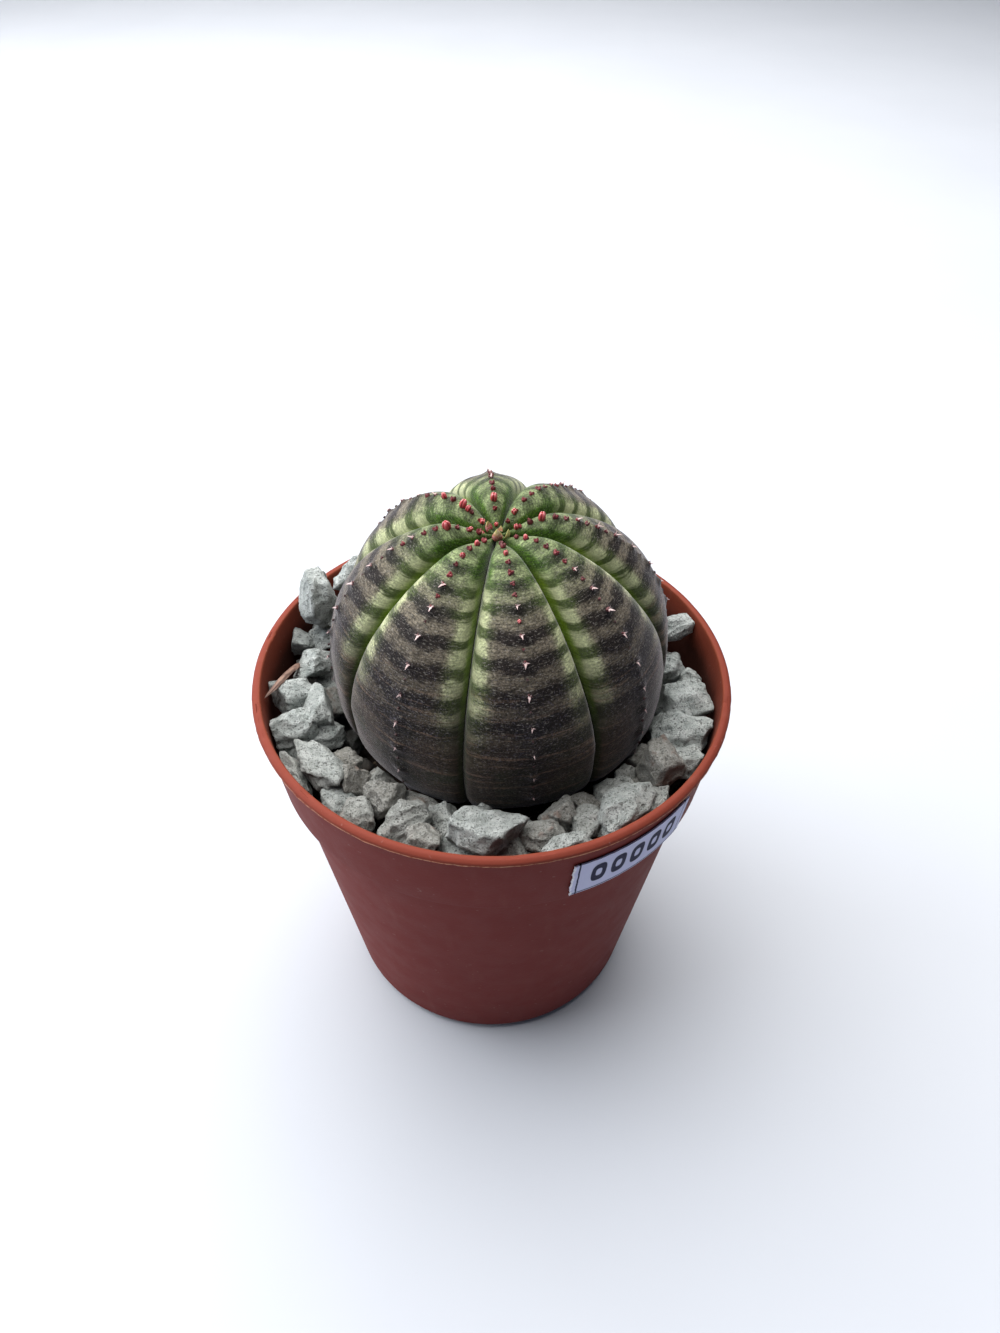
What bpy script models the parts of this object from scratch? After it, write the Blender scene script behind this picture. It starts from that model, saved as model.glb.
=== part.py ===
"""Potted baseball plant: an eight-ribbed globe in a small plastic nursery pot with gravel on top.

Metres, +Z up. The origin is the centre of the pot's foot, on the surface that it stands on.
The front of the object faces -Y. A bearing is in degrees, 0 at the front and growing to +X.
"""
import math
import random

import bmesh
import bpy
from mathutils import Matrix, Vector

MM = 0.001
CLEARANCE = 0.3 * MM            # between any two pieces that touch

# Pot: a turned plastic cup with a rolled lip, a collar, a step and a tapering wall
POT_HEIGHT = 50.5 * MM
LIP_RADIUS = 27.5 * MM
LIP_HEIGHT = 0.95 * MM
COLLAR_TOP_RADIUS = 26.3 * MM
COLLAR_FOOT_RADIUS = 25.85 * MM
COLLAR_HEIGHT = 10.4 * MM       # from the top of the lip down to the step
STEP_WIDTH = 1.1 * MM
STEP_HEIGHT = 0.7 * MM
BASE_RADIUS = 19.4 * MM         # where the wall turns into the foot's rounding
BASE_ROUNDING = 2.4 * MM
FOOT_OUTER_RADIUS = 17.4 * MM
FOOT_INNER_RADIUS = 15.6 * MM
FOOT_RECESS = 0.8 * MM
POT_WALL = 0.6 * MM
FLOOR_THICKNESS = 1.0 * MM
DRAIN_RADIUS = 2.2 * MM
DRAIN_RING_RADIUS = 9.5 * MM
DRAIN_COUNT = 4                 # around one more in the middle
POT_SEGMENTS = 64

# Soil and gravel levels, measured down from the lip's top
SOIL_DEPTH = 12.2 * MM
GRAVEL_BED_HEIGHT = 3.4 * MM    # the packed lower stones that the visible ones are sunk in

# Plant body: the crest line of a rib is a rounded profile about an axis that leans to the front
RIM_LEVEL = 50.1 * MM
PLANT_OFFSET = Vector((0.9 * MM, 2.3 * MM, RIM_LEVEL))
LEAN_FORWARD = math.radians(4.6)
LEAN_RIGHT = math.radians(-1.3)
WAIST_LEVEL = 2.7 * MM          # widest level, above the rim
BODY_RADIUS = 19.4 * MM
BODY_RISE = 18.9 * MM           # from the widest level up to the crown
BODY_DROP = 12.5 * MM           # from the widest level down to the underside
UPPER_POWERS = (1.09, 0.97)     # how full the dome is: powers on its radius and its height
LOWER_POWERS = (0.71, 0.50)
CROWN_DIP = 3.0 * MM
CROWN_DIP_RADIUS = 4.0 * MM
GROOVE_AT_WAIST = 0.026         # share of the radius by which a groove lies in from the crests
GROOVE_AT_CROWN = 0.175
GROOVE_CLOSES_RADIUS = 1.6 * MM
RIB_BEARINGS = (10.3, 53.2, 95.6, 140.5, 184.4, 231.9, 279.3, 326.4)
GROOVE_BEARINGS = (32.2, 78.7, 118.0, 162.5, 208.0, 255.6, 301.6, 348.2)
FLANK_STEPS = (0.0, 0.34, 0.68, 0.9)    # from a crest towards its groove

# Taproot: radius and depth below the widest level
TAPROOT = ((5.0 * MM, 12.9 * MM), (4.2 * MM, 15.0 * MM), (3.0 * MM, 20.0 * MM),
           (1.7 * MM, 25.0 * MM), (0.7 * MM, 28.5 * MM))

# Tubercles in a row down each crest, and flower buds round the growing point
FIRST_TUBERCLE = 2.3 * MM       # along the crest from the growing point
LAST_TUBERCLE = 35.0 * MM
TUBERCLE_PITCH = 1.2 * MM
TUBERCLE_SPREAD_FROM = 10.0 * MM
TUBERCLE_SPREAD = 5.5           # how fast the pitch grows past there, per metre
TUBERCLE_RADIUS = 0.5 * MM
TUBERCLE_HEIGHT = 0.45 * MM
BUD_RADIUS = 0.6 * MM
BUD_HEIGHT = 1.1 * MM
POINT_TIP = 0.45                # tip radius of both, as a share of the foot's
BUDS = ((4, 3.3), (4, 5.0), (3, 3.6), (3, 6.0), (2, 4.2), (2, 6.6), (5, 3.4), (5, 5.4), (6, 3.9),
        (6, 7.2), (0, 3.2), (1, 3.6), (7, 4.4))      # rib and distance from the growing point, mm
TIP_LEAVES = 5
TIP_LEAF_RING = 1.0 * MM

# Gravel: the stones that show most, each with its bearing, its reach from the pot's axis and its
# middle's depth below the rim, its length, width and thickness in mm, and the turn of its length
BIG_STONES = (
    (-2, 20.6, 2.6, 8.8, 6.0, 5.0, 8), (39, 21.2, 3.2, 9.2, 5.6, 5.0, -28),
    (-25, 20.8, 4.2, 6.2, 5.0, 4.8, 60), (-61, 21.4, 4.4, 8.4, 5.0, 4.4, 12),
    (-119, 22.4, 0.6, 6.4, 5.0, 5.4, 70), (-136, 22.6, 0.2, 6.0, 4.8, 4.4, 0),
    (-87, 20.6, 3.6, 6.6, 4.2, 4.0, 8), (-80, 23.0, 4.4, 5.8, 4.0, 4.0, 4),
    (-91, 22.6, 4.2, 5.2, 4.4, 4.2, 60), (-104, 22.4, 4.4, 4.8, 4.2, 4.0, 30),
    (-111, 23.0, 3.0, 4.6, 3.8, 3.8, -20), (59, 21.6, 4.2, 7.4, 6.0, 5.4, 20),
    (88, 22.6, 4.4, 6.6, 5.2, 4.6, 40), (79, 23.0, 4.6, 6.4, 5.2, 4.6, -20),
    (20, 23.6, 3.4, 6.8, 2.8, 3.0, 0), (22, 19.2, 4.8, 5.0, 4.2, 4.0, 30),
    (13, 21.4, 4.2, 5.8, 4.4, 4.0, -25), (31, 20.0, 5.2, 4.6, 4.0, 4.0, 0),
    (-37, 19.4, 5.2, 5.4, 4.6, 4.2, 40), (-37, 22.8, 5.2, 4.8, 3.8, 3.6, 10),
    (-47, 22.6, 5.4, 5.0, 4.4, 3.2, 0), (-51, 19.8, 5.8, 4.8, 4.2, 4.2, 0),
    (-18, 22.8, 4.4, 4.8, 4.0, 3.8, 0), (12, 18.6, 6.2, 4.6, 3.6, 3.6, 0),
    (72, 20.8, 5.2, 5.4, 4.4, 4.2, 0), (104, 23.2, 5.0, 5.0, 4.2, 4.0, 20),
    (114, 23.4, 2.6, 6.4, 3.8, 3.6, 0), (-70, 23.6, 5.2, 4.6, 3.4, 3.6, 0),
    (63, 23.8, 4.8, 4.8, 3.4, 3.6, 0), (97, 21.4, 5.4, 4.8, 4.0, 4.0, 0),
)
UPPER_LAYER = (26, 5.0 * MM, (4.0 * MM, 6.2 * MM))      # count, depth of the middles, sizes
LOWER_LAYER = (14, 7.4 * MM, (4.4 * MM, 6.0 * MM))
STONE_SPACING = 0.74            # share of two stones' mean size that keeps them apart
STONE_SEED = 11

# Paper label on the collar, at the right of the front
LABEL_BEARINGS = (18.4, 57.0)
LABEL_TOP = 3.9 * MM            # below the lip's top, at its left end
LABEL_HEIGHT = 5.6 * MM
LABEL_SLOPE = 0.6 * MM          # how much lower its right end lies
LABEL_THICKNESS = 0.25 * MM
LABEL_STEPS = 16

# Dry sliver of straw on the gravel at the left
STRAW_ENDS = (Vector((-24.6 * MM, -3.9 * MM, 49.2 * MM)), Vector((-22.9 * MM, 4.4 * MM, 46.2 * MM)))
STRAW_WIDTH = 0.8 * MM
STRAW_THICKNESS = 0.6 * MM
STRAW_BOW = 0.5 * MM


def clear_scene():
    for old in list(bpy.data.objects):
        bpy.data.objects.remove(old, do_unlink=True)


def finish_material(name, colour, roughness):
    material = bpy.data.materials.new(name)
    material.use_nodes = True
    shader = material.node_tree.nodes["Principled BSDF"]
    shader.inputs["Base Color"].default_value = (*colour, 1.0)
    shader.inputs["Roughness"].default_value = roughness
    shader.inputs["Metallic"].default_value = 0.0
    return material


def object_from(name, bm, holder=None):
    bmesh.ops.recalc_face_normals(bm, faces=bm.faces)
    mesh = bpy.data.meshes.new(name)
    bm.to_mesh(mesh)
    bm.free()
    made = bpy.data.objects.new(name, mesh)
    (holder or bpy.context.scene.collection).objects.link(made)
    return made


def turned(name, outline, segments=POT_SEGMENTS, holder=None):
    """Spin a closed outline of (radius, height) points about the Z axis."""
    bm = bmesh.new()
    points = [bm.verts.new((radius, 0.0, height)) for radius, height in outline]
    edges = [bm.edges.new((a, b)) for a, b in zip(points, points[1:] + points[:1])]
    bmesh.ops.spin(bm, geom=points + edges, cent=(0, 0, 0), axis=(0, 0, 1), angle=math.tau,
                   steps=segments, use_merge=True, use_duplicate=False)
    bmesh.ops.remove_doubles(bm, verts=bm.verts, dist=1e-7)
    return object_from(name, bm, holder)


def apply_modifiers(made):
    evaluated = made.evaluated_get(bpy.context.evaluated_depsgraph_get())
    mesh = bpy.data.meshes.new_from_object(evaluated)
    made.modifiers.clear()
    made.data = mesh


def combine(made, other, operation):
    """Apply one Boolean against an object or a whole collection, then remove what it used."""
    cut = made.modifiers.new(operation.lower(), "BOOLEAN")
    cut.operation = operation
    cut.solver = "EXACT"
    if isinstance(other, bpy.types.Collection):
        cut.operand_type = "COLLECTION"
        cut.collection = other
        used = list(other.objects)
    else:
        cut.object = other
        used = [other]
    apply_modifiers(made)
    for thing in used:
        bpy.data.objects.remove(thing, do_unlink=True)
    if isinstance(other, bpy.types.Collection):
        bpy.data.collections.remove(other)


def keep_largest_body(made):
    """Drop the loose scraps that a cut leaves behind."""
    bm = bmesh.new()
    bm.from_mesh(made.data)
    seen = set()
    bodies = []
    for start in bm.verts:
        if start in seen:
            continue
        seen.add(start)
        body = [start]
        for vertex in body:
            for edge in vertex.link_edges:
                other = edge.other_vert(vertex)
                if other not in seen:
                    seen.add(other)
                    body.append(other)
        bodies.append(body)
    bodies.sort(key=len, reverse=True)
    for scrap in bodies[1:]:
        bmesh.ops.delete(bm, geom=scrap, context="VERTS")
    bm.to_mesh(made.data)
    bm.free()


def working_collection(name):
    holder = bpy.data.collections.new(name)
    bpy.context.scene.collection.children.link(holder)
    return holder


def at_bearing(bearing, radius, height):
    angle = math.radians(bearing)
    return Vector((radius * math.sin(angle), -radius * math.cos(angle), height))


def inner_wall():
    """The pot's inner outline from the floor up to the lip, as (radius, height) points."""
    step_top = POT_HEIGHT - COLLAR_HEIGHT
    step_foot = step_top - STEP_HEIGHT
    wall_top = COLLAR_FOOT_RADIUS - STEP_WIDTH
    floor = FOOT_RECESS + FLOOR_THICKNESS
    return [
        (BASE_RADIUS - POT_WALL - 1.2 * MM, floor),
        (BASE_RADIUS - POT_WALL, floor + 1.2 * MM),
        (wall_top - POT_WALL, step_foot),
        (COLLAR_FOOT_RADIUS - POT_WALL, step_top + 0.1 * MM),
        (COLLAR_TOP_RADIUS - POT_WALL, POT_HEIGHT - 0.5 * MM),
    ]


def make_pot():
    step_top = POT_HEIGHT - COLLAR_HEIGHT
    step_foot = step_top - STEP_HEIGHT
    wall_top = COLLAR_FOOT_RADIUS - STEP_WIDTH
    lip_foot = POT_HEIGHT - LIP_HEIGHT
    foot_turn = [(FOOT_OUTER_RADIUS + (BASE_RADIUS - FOOT_OUTER_RADIUS) * math.cos(angle),
                  BASE_ROUNDING - BASE_ROUNDING * math.sin(angle))
                 for angle in (0.0, math.pi / 6, math.pi / 3, math.pi / 2)]
    outline = [
        (COLLAR_TOP_RADIUS - POT_WALL + 0.15 * MM, POT_HEIGHT - 0.15 * MM),
        (COLLAR_TOP_RADIUS - POT_WALL + 0.5 * MM, POT_HEIGHT),
        (LIP_RADIUS - 0.6 * MM, POT_HEIGHT),
        (LIP_RADIUS - 0.2 * MM, POT_HEIGHT - 0.15 * MM),
        (LIP_RADIUS, POT_HEIGHT - 0.45 * MM),
        (LIP_RADIUS, POT_HEIGHT - 0.7 * MM),
        (LIP_RADIUS - 0.2 * MM, lip_foot + 0.04 * MM),
        (COLLAR_TOP_RADIUS, lip_foot),
        (COLLAR_FOOT_RADIUS, step_top),
        (wall_top, step_foot),
        *foot_turn,
        (FOOT_INNER_RADIUS, 0.0),
        (FOOT_INNER_RADIUS - 0.4 * MM, FOOT_RECESS),
        (DRAIN_RADIUS, FOOT_RECESS),
        (DRAIN_RADIUS, FOOT_RECESS + FLOOR_THICKNESS),
        *inner_wall(),
    ]
    pot = turned("pot", outline)
    drills = working_collection("drills")
    for number in range(DRAIN_COUNT):
        bm = bmesh.new()
        middle = at_bearing(45 + 360 / DRAIN_COUNT * number, DRAIN_RING_RADIUS, FOOT_RECESS)
        bmesh.ops.create_cone(bm, cap_ends=True, segments=16, radius1=DRAIN_RADIUS, radius2=DRAIN_RADIUS,
                              depth=5 * FLOOR_THICKNESS, matrix=Matrix.Translation(middle))
        object_from("drill", bm, drills)
    combine(pot, drills, "DIFFERENCE")
    pot.data.materials.append(finish_material("pot plastic", (0.30, 0.085, 0.05), 0.45))


def plant_place():
    return (Matrix.Translation(PLANT_OFFSET) @ Matrix.Rotation(LEAN_RIGHT, 4, "Y")
            @ Matrix.Rotation(LEAN_FORWARD, 4, "X"))


def crest_point(polar):
    """Radius and height of the crest line, from the growing point (0) to the underside (pi)."""
    radius_power, height_power = UPPER_POWERS if math.cos(polar) > 0 else LOWER_POWERS
    reach = BODY_RISE if math.cos(polar) > 0 else -BODY_DROP
    radius = BODY_RADIUS * abs(math.sin(polar)) ** radius_power
    height = WAIST_LEVEL + reach * abs(math.cos(polar)) ** height_power
    height -= CROWN_DIP * math.exp(-(radius / CROWN_DIP_RADIUS) ** 2)
    return radius, height


def body_point(polar, bearing, flank):
    """A point of the skin: flank is 0 on a crest and 1 in a groove."""
    radius, height = crest_point(polar)
    upward = max(0.0, math.cos(polar))
    valley = 0.55 * flank ** 2 + 0.45 * flank ** 6
    depth = GROOVE_AT_WAIST * flank ** 6 + GROOVE_AT_CROWN * upward * valley
    depth *= 1.0 - math.exp(-(radius / GROOVE_CLOSES_RADIUS) ** 2)
    if math.cos(polar) > 0:
        height = WAIST_LEVEL + (height - WAIST_LEVEL) * (1.0 - 0.6 * depth)
    return at_bearing(bearing, radius * (1.0 - depth), height)


def skin_columns():
    """Bearing and flank of each column of the skin, going round from the first rib."""
    columns = []
    for rib, crest in enumerate(RIB_BEARINGS):
        groove = GROOVE_BEARINGS[rib]
        next_crest = RIB_BEARINGS[(rib + 1) % len(RIB_BEARINGS)]
        next_crest += 360.0 if next_crest < crest else 0.0
        columns += [(crest + (groove - crest) * step, step) for step in FLANK_STEPS]
        columns.append((groove, 1.0))
        columns += [(next_crest + (groove - next_crest) * step, step) for step in FLANK_STEPS[:0:-1]]
    return columns


def make_body():
    dome_rows = (3, 6.5, 10.5, 15, 20, 26, 32, 39, 46, 53, 60, 67, 74, 81, 87)
    under_rows = (90.5, 93, 98, 105, 115, 128, 143, 158)
    columns = skin_columns()
    bm = bmesh.new()
    rings = [[bm.verts.new(body_point(math.radians(row), bearing, flank)) for bearing, flank in columns]
             for row in dome_rows + under_rows]
    for radius, depth in TAPROOT:
        level = WAIST_LEVEL - depth
        rings.append([bm.verts.new(at_bearing(bearing, radius, level)) for bearing, _ in columns])
    for upper, lower in zip(rings, rings[1:]):
        for side in range(len(columns)):
            after = (side + 1) % len(columns)
            bm.faces.new((upper[side], lower[side], lower[after], upper[after]))
    growing_point = bm.verts.new((0, 0, crest_point(0.0)[1]))
    root_tip = bm.verts.new((0, 0, WAIST_LEVEL - TAPROOT[-1][1] - 0.4 * MM))
    for side in range(len(columns)):
        after = (side + 1) % len(columns)
        bm.faces.new((growing_point, rings[0][side], rings[0][after]))
        bm.faces.new((root_tip, rings[-1][after], rings[-1][side]))
    return object_from("plant", bm)


def crest_station(distance):
    """Polar angle and outward direction (radius, height) at a distance along the crest."""
    travelled, polar, step = 0.0, 0.0, math.radians(0.25)
    radius, height = crest_point(0.0)
    while True:
        next_radius, next_height = crest_point(polar + step)
        stretch = math.hypot(next_radius - radius, next_height - height)
        if travelled + stretch >= distance:
            return polar, Vector((height - next_height, next_radius - radius)).normalized()
        travelled += stretch
        polar += step
        radius, height = next_radius, next_height


def add_point(holder, foot, direction, radius, height, sides):
    """A small cone that stands on the skin, with its root sunk well in."""
    bm = bmesh.new()
    turn = direction.to_track_quat("Z", "Y").to_matrix().to_4x4()
    root = 0.5 * MM
    place = Matrix.Translation(foot + direction * (height - root) / 2) @ turn
    bmesh.ops.create_cone(bm, cap_ends=True, segments=sides, radius1=radius, radius2=radius * POINT_TIP,
                          depth=height + root, matrix=place)
    object_from("point", bm, holder)


def make_plant():
    plant = make_body()
    points = working_collection("points")

    def on_crest(rib, distance):
        polar, outward = crest_station(distance)
        bearing = RIB_BEARINGS[rib]
        return body_point(polar, bearing, 0.0), at_bearing(bearing, outward.x, outward.y)

    for rib in range(len(RIB_BEARINGS)):
        distance = FIRST_TUBERCLE + 0.35 * MM * (rib % 3)
        while distance < LAST_TUBERCLE:
            foot, direction = on_crest(rib, distance)
            add_point(points, foot, direction, TUBERCLE_RADIUS, TUBERCLE_HEIGHT, 4)
            spread = max(0.0, distance - TUBERCLE_SPREAD_FROM)
            distance += TUBERCLE_PITCH + TUBERCLE_SPREAD * spread ** 2
    for rib, millimetres in BUDS:
        foot, direction = on_crest(rib, millimetres * MM)
        add_point(points, foot, direction, BUD_RADIUS, BUD_HEIGHT, 6)
    for leaf in range(TIP_LEAVES):
        outward = at_bearing(360 / TIP_LEAVES * leaf, 0.35, 1.0).normalized()
        foot = at_bearing(360 / TIP_LEAVES * leaf, TIP_LEAF_RING, crest_point(0.0)[1])
        add_point(points, foot, outward, 0.5 * MM, 1.3 * MM, 4)
    combine(plant, points, "UNION")
    keep_largest_body(plant)
    plant.data.transform(plant_place())
    plant.data.materials.append(finish_material("plant skin", (0.16, 0.17, 0.09), 0.6))


def plant_cutter(name, outline, segments):
    """A closed turned shape in the plant's own leaning frame, for cutting its room in a neighbour."""
    cutter = turned(name, outline, segments)
    cutter.data.transform(plant_place())
    return cutter


def make_soil():
    wall = inner_wall()
    top = POT_HEIGHT - SOIL_DEPTH
    (corner_radius, floor), (foot_radius, foot), (top_radius, wall_top) = wall[:3]
    share = (top - foot) / (wall_top - foot)
    outline = [
        (0.0, top),
        (foot_radius + (top_radius - foot_radius) * share - CLEARANCE, top),
        (foot_radius - CLEARANCE, foot),
        (corner_radius - CLEARANCE, floor + CLEARANCE),
        (0.0, floor + CLEARANCE),
    ]
    soil = turned("soil", outline)
    room = 0.36 * MM
    socket = [(0.0, WAIST_LEVEL - BODY_DROP + 6 * MM), (6.5 * MM, WAIST_LEVEL - BODY_DROP + 6 * MM),
              *((radius + room, WAIST_LEVEL - depth) for radius, depth in TAPROOT),
              (0.0, WAIST_LEVEL - TAPROOT[-1][1] - 0.4 * MM - room)]
    combine(soil, plant_cutter("socket", socket, 24), "DIFFERENCE")
    soil.data.materials.append(finish_material("potting soil", (0.045, 0.03, 0.02), 0.95))


def add_stone(holder, rng, middle, sizes, turn, tip, root_level):
    """One angular stone: a roughened twenty-sided ball stretched to its sizes, rooted in the bed."""
    bm = bmesh.new()
    bmesh.ops.create_icosphere(bm, subdivisions=1, radius=0.5)
    bmesh.ops.delete(bm, geom=bm.edges, context="EDGES_FACES")
    for vertex in bm.verts:
        vertex.co *= rng.uniform(0.84, 1.12)
        vertex.co += Vector([rng.uniform(-0.07, 0.07) for _ in range(3)])
    bm.transform(Matrix.Translation(middle) @ Matrix.Rotation(turn, 4, "Z") @ Matrix.Rotation(tip, 4, "X")
                 @ Matrix.Diagonal((*sizes, 1.0)))
    bm.verts.new((middle.x, middle.y, root_level))
    bmesh.ops.convex_hull(bm, input=bm.verts)
    loose = [vertex for vertex in bm.verts if not vertex.link_faces]
    bmesh.ops.delete(bm, geom=loose, context="VERTS")
    object_from("stone", bm, holder)


def scatter(rng, taken, layer):
    """Places for one layer of stones, kept apart from each other, the plant and the wall."""
    count, depth, size_range = layer
    places = []
    for _ in range(6000):
        size = rng.uniform(*size_range)
        middle = at_bearing(rng.uniform(0, 360), rng.uniform(15.5 * MM, 23.2 * MM), RIM_LEVEL - depth)
        from_plant = math.hypot(middle.x - PLANT_OFFSET.x, middle.y - PLANT_OFFSET.y - 0.4 * MM)
        if from_plant < BODY_RADIUS * 0.93 + 0.3 * size:
            continue
        if all((middle - other).length > STONE_SPACING * (size + other_size) / 2
               for other, other_size in taken + places):
            places.append((middle, size))
        if len(places) == count:
            break
    return places


def make_gravel():
    rng = random.Random(STONE_SEED)
    bed_foot = POT_HEIGHT - SOIL_DEPTH + CLEARANCE
    bed_top = bed_foot + GRAVEL_BED_HEIGHT
    root_level = bed_top - 1.0 * MM
    gravel = turned("gravel", [(14.0 * MM, bed_top), (25.6 * MM, bed_top), (25.6 * MM, bed_foot),
                               (14.0 * MM, bed_foot)], 40)
    stones = working_collection("stones")
    taken = []
    for bearing, reach, depth, length, width, height, turn in BIG_STONES:
        middle = at_bearing(bearing, reach * MM, RIM_LEVEL - depth * MM)
        add_stone(stones, rng, middle, (length * MM, width * MM, height * MM),
                  math.radians(bearing + turn), rng.uniform(-0.25, 0.25), root_level)
        taken.append((middle, (length + width) / 2 * MM))
    for layer in (UPPER_LAYER, LOWER_LAYER):
        for middle, size in scatter(rng, taken, layer):
            sizes = [size * rng.uniform(*share) for share in ((1.0, 1.3), (0.75, 1.0), (0.7, 0.9))]
            turn = rng.uniform(0, math.pi)
            tip = rng.uniform(-0.5, 0.5)
            add_stone(stones, rng, middle, sizes, turn, tip, root_level)
            taken.append((middle, size))
    combine(gravel, stones, "UNION")

    # The heap fills only the room between the soil, the pot's wall and the plant
    wall = [(radius - CLEARANCE, height) for radius, height in inner_wall()[2:]]
    room = [(0.0, bed_foot), (wall[0][0], bed_foot), *wall, (wall[-1][0], POT_HEIGHT + 12 * MM),
            (0.0, POT_HEIGHT + 12 * MM)]
    combine(gravel, turned("room", room), "INTERSECT")
    body = [crest_point(math.radians(angle)) for angle in (35, 55, 72, 85, 90, 93, 98, 105, 115, 128, 143)]
    body = [(radius + 0.42 * MM, height) for radius, height in body]
    foot = (body[-1][0], body[-1][1] - 4 * MM)
    body = [(0.0, body[0][1]), *body, foot, (0.0, foot[1])]
    combine(gravel, plant_cutter("body room", body, 48), "DIFFERENCE")
    combine(gravel, straw_solid("straw room", CLEARANCE), "DIFFERENCE")
    keep_largest_body(gravel)
    gravel.data.materials.append(finish_material("gravel stone", (0.42, 0.44, 0.39), 0.9))


def make_label():
    """A thin strip that follows the collar's cone and stands just clear of it."""
    bm = bmesh.new()
    columns = []
    for step in range(LABEL_STEPS + 1):
        share = step / LABEL_STEPS
        bearing = LABEL_BEARINGS[0] + (LABEL_BEARINGS[1] - LABEL_BEARINGS[0]) * share
        top = LABEL_TOP + LABEL_SLOPE * share
        column = []
        for depth, lift in ((top, 0.0), (top + LABEL_HEIGHT, 0.0),
                            (top + LABEL_HEIGHT, LABEL_THICKNESS), (top, LABEL_THICKNESS)):
            collar = COLLAR_TOP_RADIUS + (COLLAR_FOOT_RADIUS - COLLAR_TOP_RADIUS) * depth / COLLAR_HEIGHT
            column.append(bm.verts.new(at_bearing(bearing, collar + CLEARANCE + lift, POT_HEIGHT - depth)))
        columns.append(column)
    for left, right in zip(columns, columns[1:]):
        for side in range(4):
            after = (side + 1) % 4
            bm.faces.new((left[side], right[side], right[after], left[after]))
    bm.faces.new(columns[0])
    bm.faces.new(list(reversed(columns[-1])))
    label = object_from("label", bm)
    label.data.materials.append(finish_material("label paper", (0.62, 0.62, 0.66), 0.5))


def straw_solid(name, spare=0.0):
    """A flat six-sided sliver that bows up a little between its two ends, fattened by spare."""
    start, end = STRAW_ENDS
    along = (end - start).normalized()
    across = along.cross(Vector((0, 0, 1))).normalized()
    up = across.cross(along)
    bm = bmesh.new()
    rings = []
    for share, fullness in ((0.0, 0.35), (0.15, 0.8), (0.4, 1.0), (0.7, 0.9), (0.9, 0.6), (1.0, 0.2)):
        middle = start.lerp(end, share) + up * STRAW_BOW * math.sin(math.pi * share)
        middle += along * spare * (2.0 * share - 1.0)
        half_width = STRAW_WIDTH / 2 * fullness + spare * 1.2
        half_thickness = STRAW_THICKNESS / 2 * fullness + spare * 1.2
        rings.append([bm.verts.new(middle + across * math.cos(angle) * half_width
                                   + up * math.sin(angle) * half_thickness)
                      for angle in (math.tau * side / 6 for side in range(6))])
    for near, far in zip(rings, rings[1:]):
        for side in range(6):
            after = (side + 1) % 6
            bm.faces.new((near[side], near[after], far[after], far[side]))
    bm.faces.new(rings[0])
    bm.faces.new(list(reversed(rings[-1])))
    return object_from(name, bm)


def make_straw():
    straw = straw_solid("straw")
    straw.data.materials.append(finish_material("dry straw", (0.45, 0.27, 0.2), 0.8))


clear_scene()
make_pot()
make_plant()
make_soil()
make_gravel()
make_label()
make_straw()
for piece in bpy.context.scene.objects:
    piece.data.shade_smooth()
    piece.data.set_sharp_from_angle(angle=math.radians(35))
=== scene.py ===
"""Potted baseball plant: the looks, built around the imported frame.

Metres, +Z up, the front faces -Y. A bearing is in degrees, 0 at the front and growing to +X.
"""
import bisect
import math
import random

import bpy
from mathutils import Matrix, Vector, noise


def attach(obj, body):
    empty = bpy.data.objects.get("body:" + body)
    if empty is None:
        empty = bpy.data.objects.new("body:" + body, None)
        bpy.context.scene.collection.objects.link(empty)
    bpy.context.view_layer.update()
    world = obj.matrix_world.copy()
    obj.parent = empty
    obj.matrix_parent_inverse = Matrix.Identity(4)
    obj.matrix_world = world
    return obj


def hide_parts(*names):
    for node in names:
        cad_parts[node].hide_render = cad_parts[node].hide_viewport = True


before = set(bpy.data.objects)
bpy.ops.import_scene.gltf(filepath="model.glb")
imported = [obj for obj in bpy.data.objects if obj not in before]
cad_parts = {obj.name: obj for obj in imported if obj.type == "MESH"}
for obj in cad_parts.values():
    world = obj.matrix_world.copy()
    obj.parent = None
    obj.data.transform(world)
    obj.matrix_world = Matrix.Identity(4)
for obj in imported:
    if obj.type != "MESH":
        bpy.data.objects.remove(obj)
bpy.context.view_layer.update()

# Floor
# A plain pale sheet of matt card that the pot stands on. It is only the stage, and no part of the
# object.

MM = 0.001
FLOOR_WIDTH = 8.0


def clear_selection():
    bpy.ops.object.select_all(action="DESELECT")


def put(beside, kind, inputs=(), **settings):
    """Add a shader node to the tree that holds another node or socket.

    Each input is a plain value, or a socket that is linked to it.
    """
    tree = beside.id_data
    node = tree.nodes.new("ShaderNode" + kind)
    for name, value in settings.items():
        setattr(node, name, value)
    for name, value in dict(inputs).items():
        if isinstance(value, bpy.types.NodeSocket):
            tree.links.new(value, node.inputs[name])
        else:
            node.inputs[name].default_value = value
    return node


def feed(shader, name, pattern):
    shader.id_data.links.new(pattern, shader.inputs[name])


def new_finish(name, roughness):
    """A material, its Principled shader, and the place on the piece that its patterns follow."""
    material = bpy.data.materials.new(name)
    material.use_nodes = True
    shader = material.node_tree.nodes["Principled BSDF"]
    shader.inputs["Roughness"].default_value = roughness
    return material, shader, put(shader, "TexCoord").outputs["Object"]


def mottle(vector, size, detail=3.0, roughness=0.55):
    """Cloudy variation whose patches are about one size across, in metres."""
    return put(vector, "TexNoise", {"Vector": vector, "Scale": 1 / size, "Detail": detail,
                                    "Roughness": roughness}).outputs["Fac"]


def find_socket(values):
    return next(value for value in values if isinstance(value, bpy.types.NodeSocket))


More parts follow.
